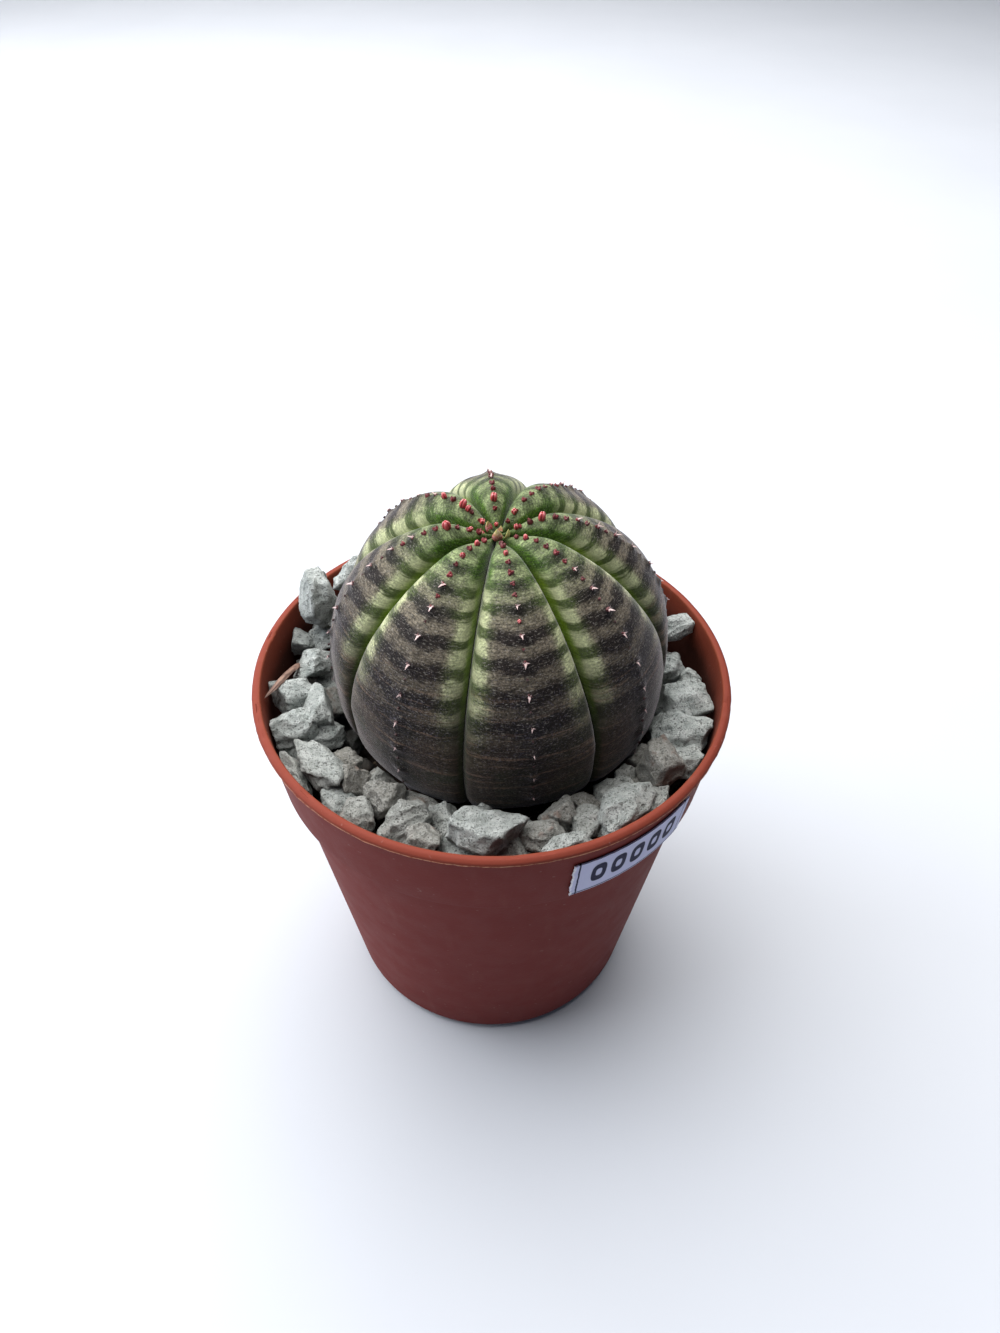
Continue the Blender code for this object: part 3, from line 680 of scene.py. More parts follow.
# Fresh green shows in and beside the creases, brightest above
green = tint(down_rib(16, 28), (0.120, 0.195, 0.008), (0.022, 0.032, 0.009))
green = tint(high, green, (0.042, 0.084, 0.009))
crease = times(fade(beside, 0.22 * MM, 0.60 * MM, 0.95, 0.0), fade(coarse, 0.35, 0.60, 0.60, 1.0))
colour = tint(crease, colour, green)
crown = down_rib(1.2, 4.0, 0.85, 0.0)
colour = tint(crown, colour, (0.034, 0.058, 0.012))
# Painted shade: a near-black line along the bottom of each crease.
painted_crease_shade = fade(beside, 0.03 * MM, 0.12 * MM, 0.75, 0.0)
colour = tint(painted_crease_shade, colour, (0.006, 0.011, 0.004))

# Velvet: the finest pale points and short streaks round the ribs cover the skin. The pale points
# are partly the skin's own specks and partly painted sheen, and violet-blue specks low down are
# painted sheen, for light caught by the hairs.
fibre = mottle(streaked, 0.20 * MM, 3.0, 0.6)
veil = fade(fine, 0.30, 0.70, 0.48, 1.62)
for layer, least, most in ((fibre, 0.55, 1.48), (medium, 0.82, 1.18)):
    veil = times(veil, fade(layer, 0.30, 0.70, least, most))
worn = fade(beside, 0.5 * MM, 2.0 * MM, 0.35, 1.0)
worn = calc("MAXIMUM", worn, times(high, 0.9))
veil = calc("ADD", times(calc("SUBTRACT", veil, 1.0), worn), 1.0)
veil = put(shader, "CombineXYZ", {0: veil, 1: veil, 2: veil}).outputs[0]
colour = tint(1.0, colour, veil, "MULTIPLY")
# Partly the skin's own pale specks, partly painted sheen.
point = times(add_specks(place, 0.15 * MM, 0.62, 0.08), times(worn, 0.28))
colour = tint(point, colour, (0.40, 0.36, 0.35))
# Painted sheen: violet-blue specks low on the body, for cool light caught by the hairs.
painted_sheen_specks = times(add_specks(place, 0.21 * MM, 0.56, 0.12), down_rib(14, 24, 0.0, 0.24))
colour = tint(times(painted_sheen_specks, worn), colour, (0.150, 0.140, 0.190))
stroke = times(add_specks(streaked, 0.16 * MM, 0.58, 0.10), worn)
stroke = times(stroke, down_rib(5, 12, 0.05, 0.30))
colour = tint(stroke, colour, (0.33, 0.31, 0.27))
feed(shader, "Base Color", colour)
raise_grain(shader, fine, 0.8, 0.07 * MM)
for name, value in (("Sheen Weight", 0.32), ("Sheen Roughness", 0.30),
                    ("Sheen Tint", (1.0, 0.95, 1.0, 1.0)), ("Specular IOR Level", 0.12)):
    shader.inputs[name].default_value = value
body.data.materials.append(skin)
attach(body, "root")
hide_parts("plant")

# Mound tips
# On each large mound stands the dry, whitish two- or three-pronged rest of an old flower stalk in a
# dark red cup. Small rounded red nubs stand between them.

clear_selection()
bpy.ops.mesh.primitive_uv_sphere_add(segments=12, ring_count=6, radius=1.0)
nub = bpy.context.object
cup_tips = []
for vertex in nub.data.vertices:
    lobe = math.cos(3 * math.atan2(vertex.co.y, vertex.co.x)) * vertex.co.xy.length
    rise = 0.5 + 0.5 * vertex.co.z
    spread = 1 + 0.30 * lobe * rise - 0.15 * vertex.co.z
    vertex.co.x *= spread
    vertex.co.y *= spread
    vertex.co.z += 0.50 * lobe * rise - 0.55 * rise * max(0.0, 1 - 1.3 * vertex.co.xy.length)
    cup_tips.append(0.75 * rise + 0.30 * lobe * rise)
mark(nub, "tip", cup_tips)


def make_prong(lean, turn, length, width):
    """One dry blade: a flattened five-sided spike, bent outwards."""
    clear_selection()
    bpy.ops.mesh.primitive_cone_add(vertices=5, radius1=width, radius2=0.16 * width, depth=length,
                                    location=(0, 0, 0.5 * length))
    prong = bpy.context.object
    bpy.ops.object.mode_set(mode="EDIT")
    bpy.ops.mesh.select_all(action="SELECT")
    for level in (0.35, 0.7):
        bpy.ops.mesh.bisect(plane_co=(0, 0, level * length), plane_no=(0, 0, 1))
        bpy.ops.mesh.select_all(action="SELECT")
    bpy.ops.object.mode_set(mode="OBJECT")
    for vertex in prong.data.vertices:
        x, y, z = prong.matrix_world @ vertex.co
        share = z / length
        vertex.co = Vector((x * 0.6 + lean * length * share ** 1.6, y,
                            z * (1 - 0.25 * lean * share)))
        vertex.co.rotate(Matrix.Rotation(turn, 3, "Z"))
    prong.matrix_world = Matrix.Identity(4)
    mark(prong, "tip", [1.0 + min(1.0, vertex.co.z / length) for vertex in prong.data.vertices])
    return prong


def place_on_crest(rib, spot, lift):
    """A place on a crest, spot mm from the growing point, and the way outwards there."""
    polar, outward = crest_station(spot * MM)
    direction = at_bearing(RIB_BEARINGS[rib], outward.x, outward.y)
    return skin_point(polar, RIB_BEARINGS[rib], 0.0, 8 * MM) + direction * lift, direction


def ramp(value, low, high):
    return min(1.0, max(0.0, (value - low) / (high - low)))


# Each kind has three prongs: lean, turn, length and width
prong_kinds = []
for prongs in (((0.9, 0.3, 1.1, 0.36), (0.9, 3.0, 1.0, 0.34), (0.75, 4.7, 1.7, 0.50)),
               ((0.9, 0.0, 1.2, 0.36), (0.7, 2.2, 1.0, 0.34), (0.80, 4.4, 1.6, 0.48)),
               ((0.70, 4.6, 1.7, 0.52), (1.0, 1.2, 0.9, 0.32), (0.9, 2.6, 0.8, 0.30))):
    parts = [make_prong(*prong) for prong in prongs]
    parts.append(place_copy(nub, Matrix.Diagonal((0.70, 0.70, 0.5, 1))))
    prong_kinds.append(join_copies(parts, "prongs"))

rng = random.Random(21)
tips = []
for rib, mounds in enumerate(LARGE_MOUNDS):
    for number, station in enumerate(mounds):
        for kind, spot in (("large", station), ("small", 0.5 * (station + mounds[number - 1]))):
            if spot < 1.6 or kind == "small" and number == 0:
                continue
            foot, direction = place_on_crest(rib, spot, (0.16 if kind == "large" else 0.06) * MM)
            stand = (direction + Vector((0, 0, -0.12))).to_track_quat("Z", "X").to_matrix().to_4x4()
            if kind == "large" and spot > 8.0 * rng.uniform(0.8, 1.2):
                size = rng.uniform(0.30, 0.40) * MM * (1.0 - 0.4 * ramp(spot, 18, 32))
                shape = prong_kinds[rng.randrange(3)]
                twist = Matrix.Rotation(rng.uniform(-1.9, -1.0), 4, "Z")
            else:
                size = rng.uniform(0.24, 0.34) * MM * (1.0 - 0.5 * ramp(spot, 9, 15))
                shape = nub
                twist = Matrix.Rotation(rng.uniform(0, math.tau), 4, "Z")
            copy = place_copy(shape, plant_place @ Matrix.Translation(foot) @ stand @ twist
                              @ Matrix.Diagonal((size, size, size * rng.uniform(0.8, 1.2), 1)))
            age = ramp(spot, 8, 18) if kind == "small" else ramp(spot, 0, 26)
            mark(copy, "age", [age] * len(copy.data.vertices))
            tips.append(copy)
mound_tips = join_copies(tips, "mound_tips")
smooth_faces(mound_tips, 50)

dried, shader, place = new_finish("dried red tips", 0.55)
tip = read_mark(shader, "tip")
age = read_mark(shader, "age")
flesh = tint(fade(mottle(place, 1.0 * MM), 0.3, 0.7), (0.045, 0.006, 0.008), (0.21, 0.022, 0.028))
# Painted highlight: the top of each nub is painted a paler pink-red.
flesh = tint(fade(tip, 0.70, 1.0, 0.0, 0.60), flesh, (0.50, 0.22, 0.20))
flesh = tint(fade(age, 0.2, 1.0, 0.0, 0.92), flesh, (0.024, 0.007, 0.007))
dry = tint(mottle(place, 0.6 * MM), (0.34, 0.19, 0.18), (0.68, 0.56, 0.55))
colour = tint(fade(tip, 0.98, 1.25), flesh, dry)
feed(shader, "Base Color", colour)
raise_grain(shader, mottle(place, 0.12 * MM), 0.4, 0.04 * MM)
mound_tips.data.materials.append(dried)
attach(mound_tips, "root")
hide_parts("plant")

# Flower buds
# Plump pink-red buds of three or four closed scales, on the young mounds round the growing point.

# Rib, distance from the growing point in mm, and size
BUDS = ((4, 4.3, 1.0), (5, 4.8, 0.95), (5, 4.1, 0.7), (6, 5.5, 1.05), (2, 5.0, 1.0), (3, 3.1, 0.75),
        (0, 5.3, 0.62), (7, 4.0, 0.62), (7, 6.4, 0.6), (1, 4.0, 0.6), (6, 3.0, 0.6), (2, 2.2, 0.7),
        (5, 2.1, 0.7), (5, 7.3, 0.7), (0, 12.7, 0.5), (4, 1.2, 0.5))

clear_selection()
bpy.ops.mesh.primitive_uv_sphere_add(segments=24, ring_count=14, radius=1.0)
bud = bpy.context.object
petal_tips = []
for vertex in bud.data.vertices:
    angle = math.atan2(vertex.co.y, vertex.co.x)
    rise = vertex.co.z
    fold = 1.0 - abs(math.cos(2 * angle)) ** 0.5
    lobe = 1 - 0.40 * fold * (0.4 + 0.6 * max(0.0, rise + 0.3))
    vertex.co.x *= lobe
    vertex.co.y *= lobe
    dip = math.exp(-((vertex.co.x ** 2 + vertex.co.y ** 2) / 0.06)) * (rise > 0)
    vertex.co.z = rise * 1.45 - 0.60 * dip
    petal_tips.append(0.5 + 0.45 * rise - 0.55 * fold - 0.5 * dip)
mark(bud, "tip", petal_tips)
rng = random.Random(5)
buds = []
for rib, spot, size in BUDS:
    foot, direction = place_on_crest(rib, spot, 0.30 * MM * size)
    lean = direction + Vector((rng.uniform(-0.3, 0.3), rng.uniform(-0.3, 0.3), 0.2))
    stand = lean.to_track_quat("Z", "X").to_matrix().to_4x4()
    radius = 0.44 * MM * size
    buds.append(place_copy(bud, plant_place @ Matrix.Translation(foot) @ stand
                           @ Matrix.Diagonal((radius, radius * 0.9, radius, 1))))
flower_buds = join_copies(buds, "flower_buds")
smooth_faces(flower_buds, 60)

petal, shader, place = new_finish("pink red bud", 0.42)
tip = read_mark(shader, "tip")
colour = tint(mottle(place, 0.8 * MM), (0.42, 0.035, 0.045), (0.56, 0.085, 0.095))
# Painted shade and highlight: the folds between the scales and the dip at the top are painted dark
# red, and the scale tips pale pink.
colour = tint(fade(tip, 0.05, 0.40, 0.9, 0.0), colour, (0.16, 0.008, 0.012))
colour = tint(fade(tip, 0.60, 0.92, 0.0, 0.6), colour, (0.80, 0.45, 0.44))
feed(shader, "Base Color", colour)
flower_buds.data.materials.append(petal)
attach(flower_buds, "root")
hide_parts("plant")

# Tip leaves
# A tuft of tiny pointed scale leaves, yellowish with red edges, closes the growing point.

# Bearing, distance out, length, lean, and how red each is at its foot
TIP_LEAVES = ((2, 1.5, 1.75, 0.06, 0.9), (-132, 2.0, 1.35, 0.12, 1.0), (66, 1.9, 1.35, 0.15, 0.1),
              (-90, 2.4, 1.0, 0.35, 1.0), (150, 1.2, 0.8, 0.2, 0.6))

clear_selection()
bpy.ops.mesh.primitive_uv_sphere_add(segments=10, ring_count=12, radius=1.0)
leaf = bpy.context.object
for vertex in leaf.data.vertices:
    rise = 0.5 + 0.5 * vertex.co.z
    girth = math.sin(math.pi * min(1.0, rise ** 0.55)) ** 0.8 if 0 < rise < 1 else 0.0
    flat = vertex.co.xy.normalized() if vertex.co.xy.length > 1e-6 else Vector((0, 0))
    bow = 0.12 * (flat.x * girth) ** 2 - 0.10 * math.sin(math.pi * rise)
    vertex.co = Vector((flat.x * girth * 0.34, flat.y * girth * 0.16 + bow, rise))
mark(leaf, "tip", [vertex.co.z for vertex in leaf.data.vertices])
crown_level = crest_point(0.0)[1]
leaves = []
for bearing, reach, length, lean, redness in TIP_LEAVES:
    foot = at_bearing(bearing, reach * 0.55 * MM, crown_level - 0.25 * MM)
    face = Matrix.Rotation(math.radians(bearing), 4, "Z")
    leaves.append(place_copy(leaf, plant_place @ Matrix.Translation(foot) @ face
                             @ Matrix.Rotation(lean, 4, "X")
                             @ Matrix.Diagonal((length * MM,) * 3 + (1,))))
    mark(leaves[-1], "red", [redness] * len(leaf.data.vertices))
tip_leaves = join_copies(leaves, "tip_leaves")
smooth_faces(tip_leaves, 60)
for pattern in (nub, bud, leaf, *prong_kinds):
    bpy.data.objects.remove(pattern, do_unlink=True)

scale_leaf, shader, place = new_finish("yellow red scale leaf", 0.5)
tip = read_mark(shader, "tip")
red = read_mark(shader, "red")
colour = tint(mottle(place, 0.4 * MM), (0.36, 0.37, 0.08), (0.60, 0.54, 0.24))
foot = times(red, fade(tip, 0.45, 0.85, 1.0, 0.10))
colour = tint(foot, colour, (0.42, 0.075, 0.085))
blush = times(red, fade(mottle(place, 0.22 * MM), 0.48, 0.60, 0.0, 0.55))
colour = tint(blush, colour, (0.74, 0.48, 0.48))
feed(shader, "Base Color", colour)
tip_leaves.data.materials.append(scale_leaf)
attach(tip_leaves, "root")
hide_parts("plant")

# Gravel
# Loose pale grey-green crushed stones, angular with worn edges and pitted faces, some stained
# brown. They were poured on the soil round the plant. Twelve kinds are carved and copied in many
# sizes.

STONE_KINDS = 12
STONE_CUTS = 9
CUT_DISTANCES = (0.37, 0.52)
EDGE_WEAR = (0.02, 0.06)
FINE_VOXEL = 0.040
PLAIN_VOXEL = 0.065
PLANT_CLEARANCE = 0.25 * MM
WALL_CLEARANCE = 0.12 * MM
SOIL_CLEARANCE = 0.1 * MM

# Bearing, then in mm distance out, depth below the rim, length, width and height, turn, how brown
LARGE_STONES = (
    (-3, 21.2, 2.5, 8.8, 5.6, 5.0, 10, 0.35), (39, 22.5, 3.3, 8.2, 5.0, 4.8, 3, 0.3),
    (-25, 21.0, 4.0, 6.0, 5.0, 5.0, 60, 0.55), (-59, 22.3, 3.6, 9.4, 4.2, 4.4, 5, 0.35),
    (-114, 23.1, -1.9, 5.6, 4.8, 7.4, 70, 0.2), (-131, 22.7, -1.2, 6.0, 4.8, 5.6, 0, 0.1),
    (-80, 20.2, 3.4, 6.6, 3.6, 4.2, 0, 0.2), (-75, 23.1, 3.5, 4.8, 5.6, 4.4, 0, 0.0),
    (-87, 23.0, 3.4, 4.8, 5.8, 4.0, 10, 0.0), (-100, 21.8, 3.0, 4.8, 5.0, 4.2, 10, 0.0),
    (-113, 22.6, 2.9, 4.2, 4.2, 3.8, -20, 0.0), (58, 22.0, 3.0, 6.4, 5.8, 6.2, 20, 0.8),
    (84, 22.5, 3.2, 6.8, 7.4, 5.0, 10, 0.0), (73, 22.2, 3.9, 6.6, 7.6, 5.2, 5, 0.0),
    (19, 23.9, 3.3, 6.6, 2.8, 3.0, 0, 0.3), (23, 19.3, 4.8, 4.4, 3.8, 4.0, 30, 0.8),
    (15, 21.4, 4.4, 5.2, 3.8, 3.8, -10, 0.7), (29, 21.0, 4.9, 4.6, 4.0, 3.8, 0, 0.5),
    (-36, 19.4, 4.7, 4.8, 4.4, 4.4, 40, 0.8), (-38, 22.7, 4.8, 4.8, 3.8, 3.8, 10, 0.55),
    (-47, 23.0, 5.0, 4.8, 3.8, 3.4, 0, 0.2), (-49, 20.4, 4.8, 4.0, 4.2, 4.6, 0, 0.9),
    (-19, 23.0, 3.9, 4.2, 3.4, 3.6, 0, 0.75), (9, 18.4, 6.6, 4.6, 3.6, 3.4, 0, 0.5),
    (101, 21.7, 4.0, 4.2, 4.4, 3.8, 0, 0.0), (97, 24.2, 4.6, 3.4, 3.2, 3.0, 20, 0.1),
    (110, 24.0, 1.2, 6.6, 2.8, 3.0, 100, 0.0), (-62, 24.8, 4.8, 7.0, 3.0, 3.6, 5, 0.5),
    (64, 24.2, 4.4, 5.0, 4.2, 4.2, 0, 0.2), (52, 18.9, 5.6, 3.4, 2.8, 3.0, 0, 0.6),
    (-109, 24.7, 3.7, 3.6, 3.6, 3.6, 0, 0.0), (-73, 19.9, 5.0, 3.4, 4.6, 3.4, 10, 0.2),
    (-59, 18.9, 5.4, 3.6, 3.6, 3.2, 0, 0.9), (47, 23.9, 4.8, 4.6, 3.4, 3.6, 0, 0.4),
    (124, 23.6, 4.6, 5.6, 4.4, 4.4, 5, 0.2), (138, 24.2, 4.2, 5.4, 3.8, 4.2, -8, 0.5),
    (151, 24.0, 4.8, 5.0, 4.2, 4.0, 12, 0.1), (164, 24.3, 4.3, 5.6, 3.8, 4.4, 0, 0.3),
    (177, 24.2, 4.6, 4.8, 4.0, 4.2, -15, 0.7), (190, 24.0, 4.1, 5.6, 4.0, 4.6, 6, 0.2),
    (203, 24.1, 4.8, 4.6, 4.2, 4.0, 20, 0.4), (216, 23.8, 4.4, 5.2, 4.2, 4.2, -6, 0.1),
    (-120, 24.4, 5.2, 4.6, 3.6, 4.0, 0, 0.2), (-134, 24.2, 5.4, 4.8, 4.0, 4.0, 10, 0.6),
)
# How many stones a layer has, how deep their middles lie, and how large they are
STONE_LAYERS = ((26, 6.2 * MM, (3.8 * MM, 5.4 * MM)), (46, 9.2 * MM, (4.0 * MM, 6.0 * MM)))
LAYER_RING = (15.5 * MM, 23.4 * MM)
LAYER_CROWDING = 0.72    # how near two middles come, as a share of the stones' mean size
LEAN_SHIFT = 0.4 * MM    # how far the lean carries the plant's axis back at the stones' level


def carve_stone(number, voxel):
    """Cut a block on random planes, wear its edges, and pit its faces."""
    rng = random.Random(100 + number)
    clear_selection()
    bpy.ops.mesh.primitive_cube_add(size=1.0)
    stone = bpy.context.object
    bpy.ops.object.mode_set(mode="EDIT")
    for _ in range(STONE_CUTS):
        cut = Vector([rng.gauss(0, 1) for _ in range(3)]).normalized()
        bpy.ops.mesh.select_all(action="SELECT")
        bpy.ops.mesh.bisect(plane_co=cut * rng.uniform(*CUT_DISTANCES), plane_no=cut, use_fill=True,
                            clear_outer=True)
    bpy.ops.mesh.select_all(action="SELECT")
    bpy.ops.mesh.bevel(offset=rng.uniform(*EDGE_WEAR), segments=2, affect="EDGES")
    bpy.ops.object.mode_set(mode="OBJECT")
    apply_modifier(stone, "REMESH", mode="VOXEL", voxel_size=voxel)
    apply_modifier(stone, "SMOOTH", factor=0.5, iterations=2)
    for kind, size, strength in (("CLOUDS", 0.55, 0.08), ("MUSGRAVE", 0.38, 0.05),
                                 ("CLOUDS", 0.17, 0.03), ("CLOUDS", 0.07, 0.02)):
        relief = bpy.data.textures.new("relief", kind)
        relief.noise_scale = size
        if kind == "MUSGRAVE":
            relief.musgrave_type = "RIDGED_MULTIFRACTAL"
        stone.data.transform(Matrix.Translation((3.0 * number, 0, 0)))
        apply_modifier(stone, "DISPLACE", texture=relief, strength=strength, mid_level=0.5)
        stone.data.transform(Matrix.Translation((-3.0 * number, 0, 0)))
    return stone


def plant_radius(level):
    """How far the plant reaches from its own axis at a level, in its leaning frame."""
    best = 0.0
    for (radius, height), (next_radius, next_height) in zip(side_line, side_line[1:]):
        if next_height <= level <= height:
            share = (height - level) / (height - next_height)
            best = max(best, radius + (next_radius - radius) * share)
    return best


side_line = [crest_point(math.radians(angle)) for angle in range(40, 159, 4)]
side_line += [(radius, WAIST_LEVEL - depth) for radius, depth in TAPROOT]
from_plant = plant_place.inverted()
# Height and radius down the inside of the pot, and out over its lip
WALL_LINE = ((38 * MM, 23.9 * MM), (39.4 * MM, 24.05 * MM), (40.2 * MM, 25.2 * MM),
             (50.3 * MM, 26.3 * MM), (51.0 * MM, 27.4 * MM), (62 * MM, 27.5 * MM))


def keep_clear(stone):
    """Press a stone's skin back off the plant, the pot's wall and the soil."""
    for vertex in stone.data.vertices:
        inside = from_plant @ vertex.co
        reach = inside.xy.length
        limit = plant_radius(inside.z) + PLANT_CLEARANCE
        if 1 * MM < reach < limit:
            inside.x, inside.y = inside.x * limit / reach, inside.y * limit / reach
            vertex.co = plant_place @ inside
        for (low, low_radius), (high, high_radius) in zip(WALL_LINE, WALL_LINE[1:]):
            if low <= vertex.co.z < high:
                limit = low_radius + (high_radius - low_radius) * (vertex.co.z - low) / (high - low)
                limit -= WALL_CLEARANCE
                x, y, reach = *vertex.co.xy, vertex.co.xy.length
                if reach > limit:
                    vertex.co.x, vertex.co.y = x * limit / reach, y * limit / reach
        vertex.co.z = max(vertex.co.z, SOIL_TOP + SOIL_CLEARANCE)


def set_stone(pattern, rng, middle, sizes, turn, tip, tone):
    """A copy of a carved stone, rolled to show another face, at its size and place."""
    roll = Matrix.Rotation(rng.uniform(0, math.tau), 4, Vector([rng.gauss(0, 1) for _ in range(3)]))
    stone = place_copy(pattern, roll)
    spans = [max(vertex.co[axis] for vertex in stone.data.vertices)
             - min(vertex.co[axis] for vertex in stone.data.vertices) for axis in range(3)]
    fit = Matrix.Diagonal((*[size / span for size, span in zip(sizes, spans)], 1.0))
    stone.data.transform(Matrix.Translation(middle) @ Matrix.Rotation(turn, 4, "Z")
                         @ Matrix.Rotation(tip, 4, "X") @ fit)
    keep_clear(stone)
    mark(stone, "tone", [tone] * len(stone.data.vertices))
    return stone


fine_kinds = [carve_stone(number, FINE_VOXEL) for number in range(STONE_KINDS)]
plain_kinds = [carve_stone(number, PLAIN_VOXEL) for number in range(STONE_KINDS)]
rng = random.Random(11)
groups = {"gravel_front": [], "gravel_side": [], "gravel_upper": [], "gravel_lower": []}
taken = []
for number, (bearing, reach, depth, length, width, height, turn, tone) in enumerate(LARGE_STONES):
    middle = at_bearing(bearing, reach * MM, RIM_LEVEL - depth * MM)
    sizes = [size * MM for size in (length, width, height)]
    stone = set_stone(fine_kinds[number % STONE_KINDS], rng, middle, sizes,
                      math.radians(bearing + turn), rng.uniform(-0.25, 0.25), tone)
    groups["gravel_front" if number % 2 else "gravel_side"].append(stone)
    taken.append((middle, (length + width) / 2 * MM))
for name, (count, depth, size_range) in zip(("gravel_upper", "gravel_lower"), STONE_LAYERS):
    for _ in range(6000):
        size = rng.uniform(*size_range)
        middle = at_bearing(rng.uniform(0, 360), rng.uniform(*LAYER_RING), RIM_LEVEL - depth)
        from_axis = math.hypot(middle.x - PLANT_OFFSET.x, middle.y - PLANT_OFFSET.y - LEAN_SHIFT)
        if from_axis < BODY_RADIUS * 0.93 + 0.3 * size:
            continue
        if any((middle - other).length < LAYER_CROWDING * (size + other_size) / 2
               for other, other_size in taken):
            continue
        sizes = [size * rng.uniform(*share) for share in ((1.0, 1.3), (0.75, 1.0), (0.7, 0.9))]
        kinds = fine_kinds if name == "gravel_upper" else plain_kinds
        stone = set_stone(kinds[rng.randrange(STONE_KINDS)], rng, middle, sizes,
                          rng.uniform(0, math.pi), rng.uniform(-0.5, 0.5), rng.random())
        groups[name].append(stone)
        taken.append((middle, size))
        if len(groups[name]) == count:
            break
for pattern in (*fine_kinds, *plain_kinds):
    bpy.data.objects.remove(pattern, do_unlink=True)

stone_finish, shader, place = new_finish("pitted grey green stone", 0.92)
tone = read_mark(shader, "tone")
coarse = mottle(place, 1.3 * MM, 5.0, 0.65)
grain = mottle(place, 0.22 * MM, 4.0, 0.75)
colour = tint(fade(coarse, 0.3, 0.7), (0.262, 0.294, 0.281), (0.505, 0.535, 0.520))
colour = tint(fade(tone, 0.0, 1.0, 0.0, 0.72), colour, (0.195, 0.170, 0.140))
colour = tint(fade(grain, 0.48, 0.66, 0.0, 0.40), colour, (0.58, 0.60, 0.58))
stain = times(fade(mottle(place, 2.6 * MM, 4.0), 0.55, 0.68), fade(tone, 0.35, 0.8, 0.0, 0.75))
colour = tint(stain, colour, (0.17, 0.095, 0.065))
height = put(shader, "SeparateXYZ", {0: place}).outputs["Z"]
# Painted shade: the stones darken towards the soil, standing in for the shade in the gaps between
# them.
painted_gap_shade = calc("ADD", height, times(coarse, 3 * MM))
colour = tint(fade(painted_gap_shade, 43.4 * MM, 46.8 * MM, 0.88, 0.0), colour, (0.040, 0.035, 0.028))
pore = calc("MAXIMUM", add_specks(place, 0.17 * MM, 0.57, 0.10),
            add_specks(place, 0.55 * MM, 0.64, 0.06))
colour = tint(times(pore, 0.64), colour, (0.070, 0.070, 0.060))
feed(shader, "Base Color", colour)
relief = calc("SUBTRACT", calc("ADD", grain, coarse), times(pore, 0.9))
raise_grain(shader, relief, 1.0, 0.30 * MM)
for name, stones in groups.items():
    heap = join_copies(stones, name)
    smooth_faces(heap, 60)
    heap.data.materials.append(stone_finish)
    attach(heap, "root")
    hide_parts("gravel")

# Paper label
# A small pale strip of stuck-on paper at the right of the collar, torn at its left end. It is
# printed with a thin border line and a plain row of five dark blue rounded boxes.

LABEL_BEARINGS = (18.1, 51.5)
LABEL_TOP = 3.35 * MM
LABEL_HEIGHT = 6.0 * MM
LABEL_SLOPE = -0.3 * MM
LABEL_THICKNESS = 0.16 * MM
LABEL_GAP = 0.12 * MM
END_CURL = 0.10 * MM
WRINKLES = 0.018 * MM
BOX_COUNT = 5
BOX_ROW = (0.12, 0.90)    # shares of the label's length
BOX_REACH = (0.37, 0.29)    # half a box: the share of its cell, and of the label's height
BOX_LEVEL = 0.53

clear_selection()
bpy.ops.mesh.primitive_grid_add(x_subdivisions=110, y_subdivisions=30, size=1.0)
label = bpy.context.object
label.name = "collar_label"
for vertex in label.data.vertices:
    along, up = vertex.co.x + 0.5, vertex.co.y + 0.5
    torn = 0.010 * sum(size * noise.noise(Vector((up * pitch, shift, 0)))
                       for size, pitch, shift in ((1.0, 6.0, 0), (0.5, 19.0, 2), (1.0, 47.0, 5)))
    share = along + torn * (1 - along) ** 36
    ragged = 0.02 * noise.noise(Vector((along * 14, 9, 0))) * (1 - along) ** 2
    bearing = LABEL_BEARINGS[0] + (LABEL_BEARINGS[1] - LABEL_BEARINGS[0]) * share
    depth = LABEL_TOP + LABEL_SLOPE * share + LABEL_HEIGHT * (1 - up + ragged * (up > 0.98))
    down = (LIP_FOOT - POT_HEIGHT + depth) / (LIP_FOOT - STEP_TOP)
    collar = COLLAR_TOP_RADIUS + (COLLAR_FOOT_RADIUS - COLLAR_TOP_RADIUS) * down
    curl = 0.4 + noise.noise(Vector((up * 9, 4, 0)))
    curl = max(0.0, END_CURL * math.exp(-((along / 0.03) ** 2)) * curl)
    wrinkle = WRINKLES * noise.noise(Vector((along * 22, up * 5, 1)))
    vertex.co = at_bearing(bearing, collar + LABEL_GAP + curl + wrinkle, POT_HEIGHT - depth)
apply_modifier(label, "SOLIDIFY", thickness=LABEL_THICKNESS, offset=1.0)
smooth_faces(label, 40)

paper, shader, place = new_finish("printed paper", 0.7)
shader.inputs["Specular IOR Level"].default_value = 0.15
spot = put(shader, "SeparateXYZ", {0: put(shader, "UVMap", uv_map="UVMap").outputs[0]}).outputs
along, up = spot["X"], spot["Y"]


def between_lines(value, low, high, soft):
    return times(fade(value, low - soft, low + soft),
                 fade(value, high - soft, high + soft, 1.0, 0.0))


colour = tint(mottle(place, 2.5 * MM), (0.46, 0.47, 0.66), (0.56, 0.57, 0.74))
ink = (0.012, 0.012, 0.040)
lines = calc("MAXIMUM", between_lines(along, 0.036, 0.050, 0.003),
             between_lines(along, 0.945, 0.953, 0.003))
lines = calc("MAXIMUM", lines, between_lines(up, 0.02, 0.05, 0.012))
cell = calc("DIVIDE", calc("SUBTRACT", along, BOX_ROW[0]), (BOX_ROW[1] - BOX_ROW[0]) / BOX_COUNT)
reaches = []
for spot, middle, half in ((calc("FRACT", cell), 0.5, BOX_REACH[0]), (up, BOX_LEVEL, BOX_REACH[1])):
    away = calc("ABSOLUTE", calc("SUBTRACT", spot, middle))
    reaches.append(calc("POWER", calc("DIVIDE", away, half), 3.0))
ring = calc("POWER", calc("ADD", *reaches), 1 / 3)
boxes = times(between_lines(ring, 0.40, 1.0, 0.04), between_lines(cell, 0.0, BOX_COUNT, 0.01))
printed = calc("MAXIMUM", lines, boxes)
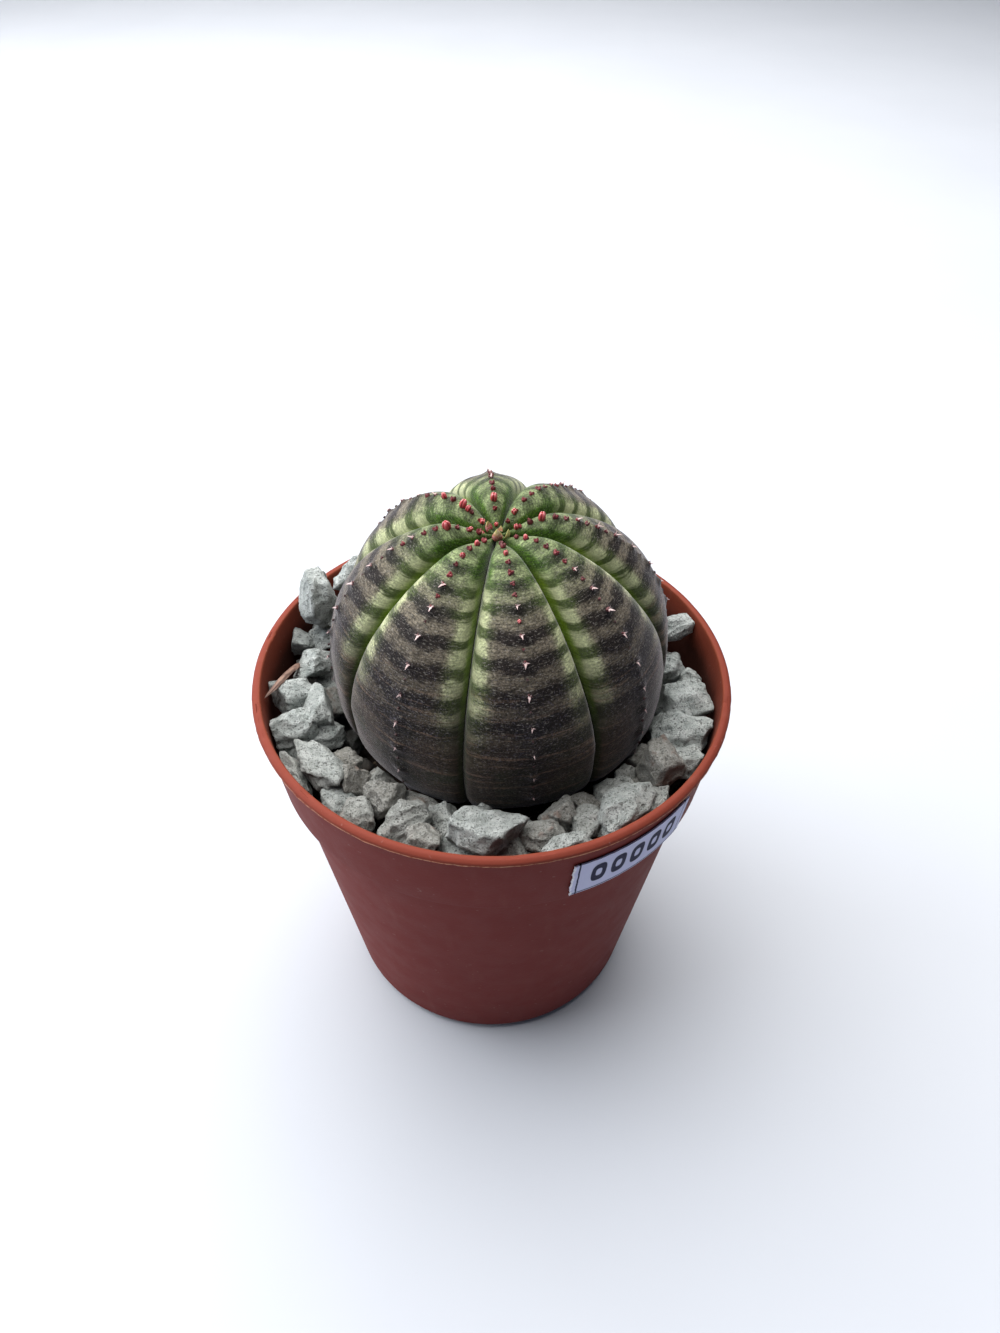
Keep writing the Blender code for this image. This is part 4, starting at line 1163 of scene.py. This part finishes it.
faded = fade(mottle(place, 0.35 * MM, 4.0), 0.30, 0.55, 0.965, 1.0)
colour = tint(times(printed, faded), colour, ink)
torn = calc("ADD", along, times(mottle(place, 0.7 * MM), 0.05))
colour = tint(fade(torn, 0.022, 0.045, 0.9, 0.0), colour, (0.86, 0.86, 0.88))
feed(shader, "Base Color", colour)
raise_grain(shader, mottle(place, 0.2 * MM, 4.0), 0.3, 0.05 * MM)
label.data.materials.append(paper)
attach(label, "root")
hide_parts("label")

# Straw
# A dry sliver of split stem that fell on the gravel at the left. It is brittle, ribbed along its
# length, and lies from the wall to a stone.

STRAW_ENDS = (Vector((-25.75, -4.35, 49.3)) * MM, Vector((-22.9, 4.0, 46.8)) * MM)
STRAW_WIDTH = 0.85 * MM
STRAW_THICKNESS = 0.5 * MM
STRAW_BOW = 0.5 * MM

clear_selection()
bpy.ops.mesh.primitive_uv_sphere_add(segments=20, ring_count=48, radius=1.0)
straw = bpy.context.object
straw.name = "straw_sliver"
start, end = STRAW_ENDS
lengthwise = (end - start).normalized()
sideways = lengthwise.cross(Vector((0, 0, 1))).normalized()
upwards = sideways.cross(lengthwise)
for vertex in straw.data.vertices:
    share = math.acos(max(-1.0, min(1.0, vertex.co.z))) / math.pi
    angle = math.atan2(vertex.co.y, vertex.co.x)
    girth = min(1.0, (share / 0.35) ** 0.6, ((1 - share) / 0.10) ** 0.5) if 0 < share < 1 else 0.0
    uneven = noise.noise(Vector((angle * 2, share * 7, 0)))
    girth *= 1.0 + 0.10 * math.cos(5 * angle) + 0.10 * uneven
    middle = start.lerp(end, share) + upwards * STRAW_BOW * math.sin(math.pi * share)
    middle += sideways * 0.12 * MM * math.sin(5 * share)
    vertex.co = (middle + sideways * math.cos(angle) * STRAW_WIDTH / 2 * girth * 0.9
                 + upwards * math.sin(angle) * STRAW_THICKNESS / 2 * girth * 0.9)
straw.data.update()
smooth_faces(straw, 60)

stem, shader, place = new_finish("dry split stem", 0.7)
grain_turn = lengthwise.to_track_quat("X", "Z").to_euler()
along_grain = put(shader, "Mapping", {"Vector": place, "Rotation": [-turn for turn in grain_turn]},
                  vector_type="POINT").outputs[0]
stretched = put(shader, "Mapping", {"Vector": along_grain, "Scale": (0.08, 1.0, 1.0)}).outputs[0]
fibres = mottle(stretched, 0.22 * MM, 3.0)
colour = tint(fade(fibres, 0.35, 0.65), (0.075, 0.036, 0.027), (0.22, 0.135, 0.100))
feed(shader, "Base Color", colour)
raise_grain(shader, fibres, 0.8, 0.12 * MM)
straw.data.materials.append(stem)
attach(straw, "root")
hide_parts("straw")
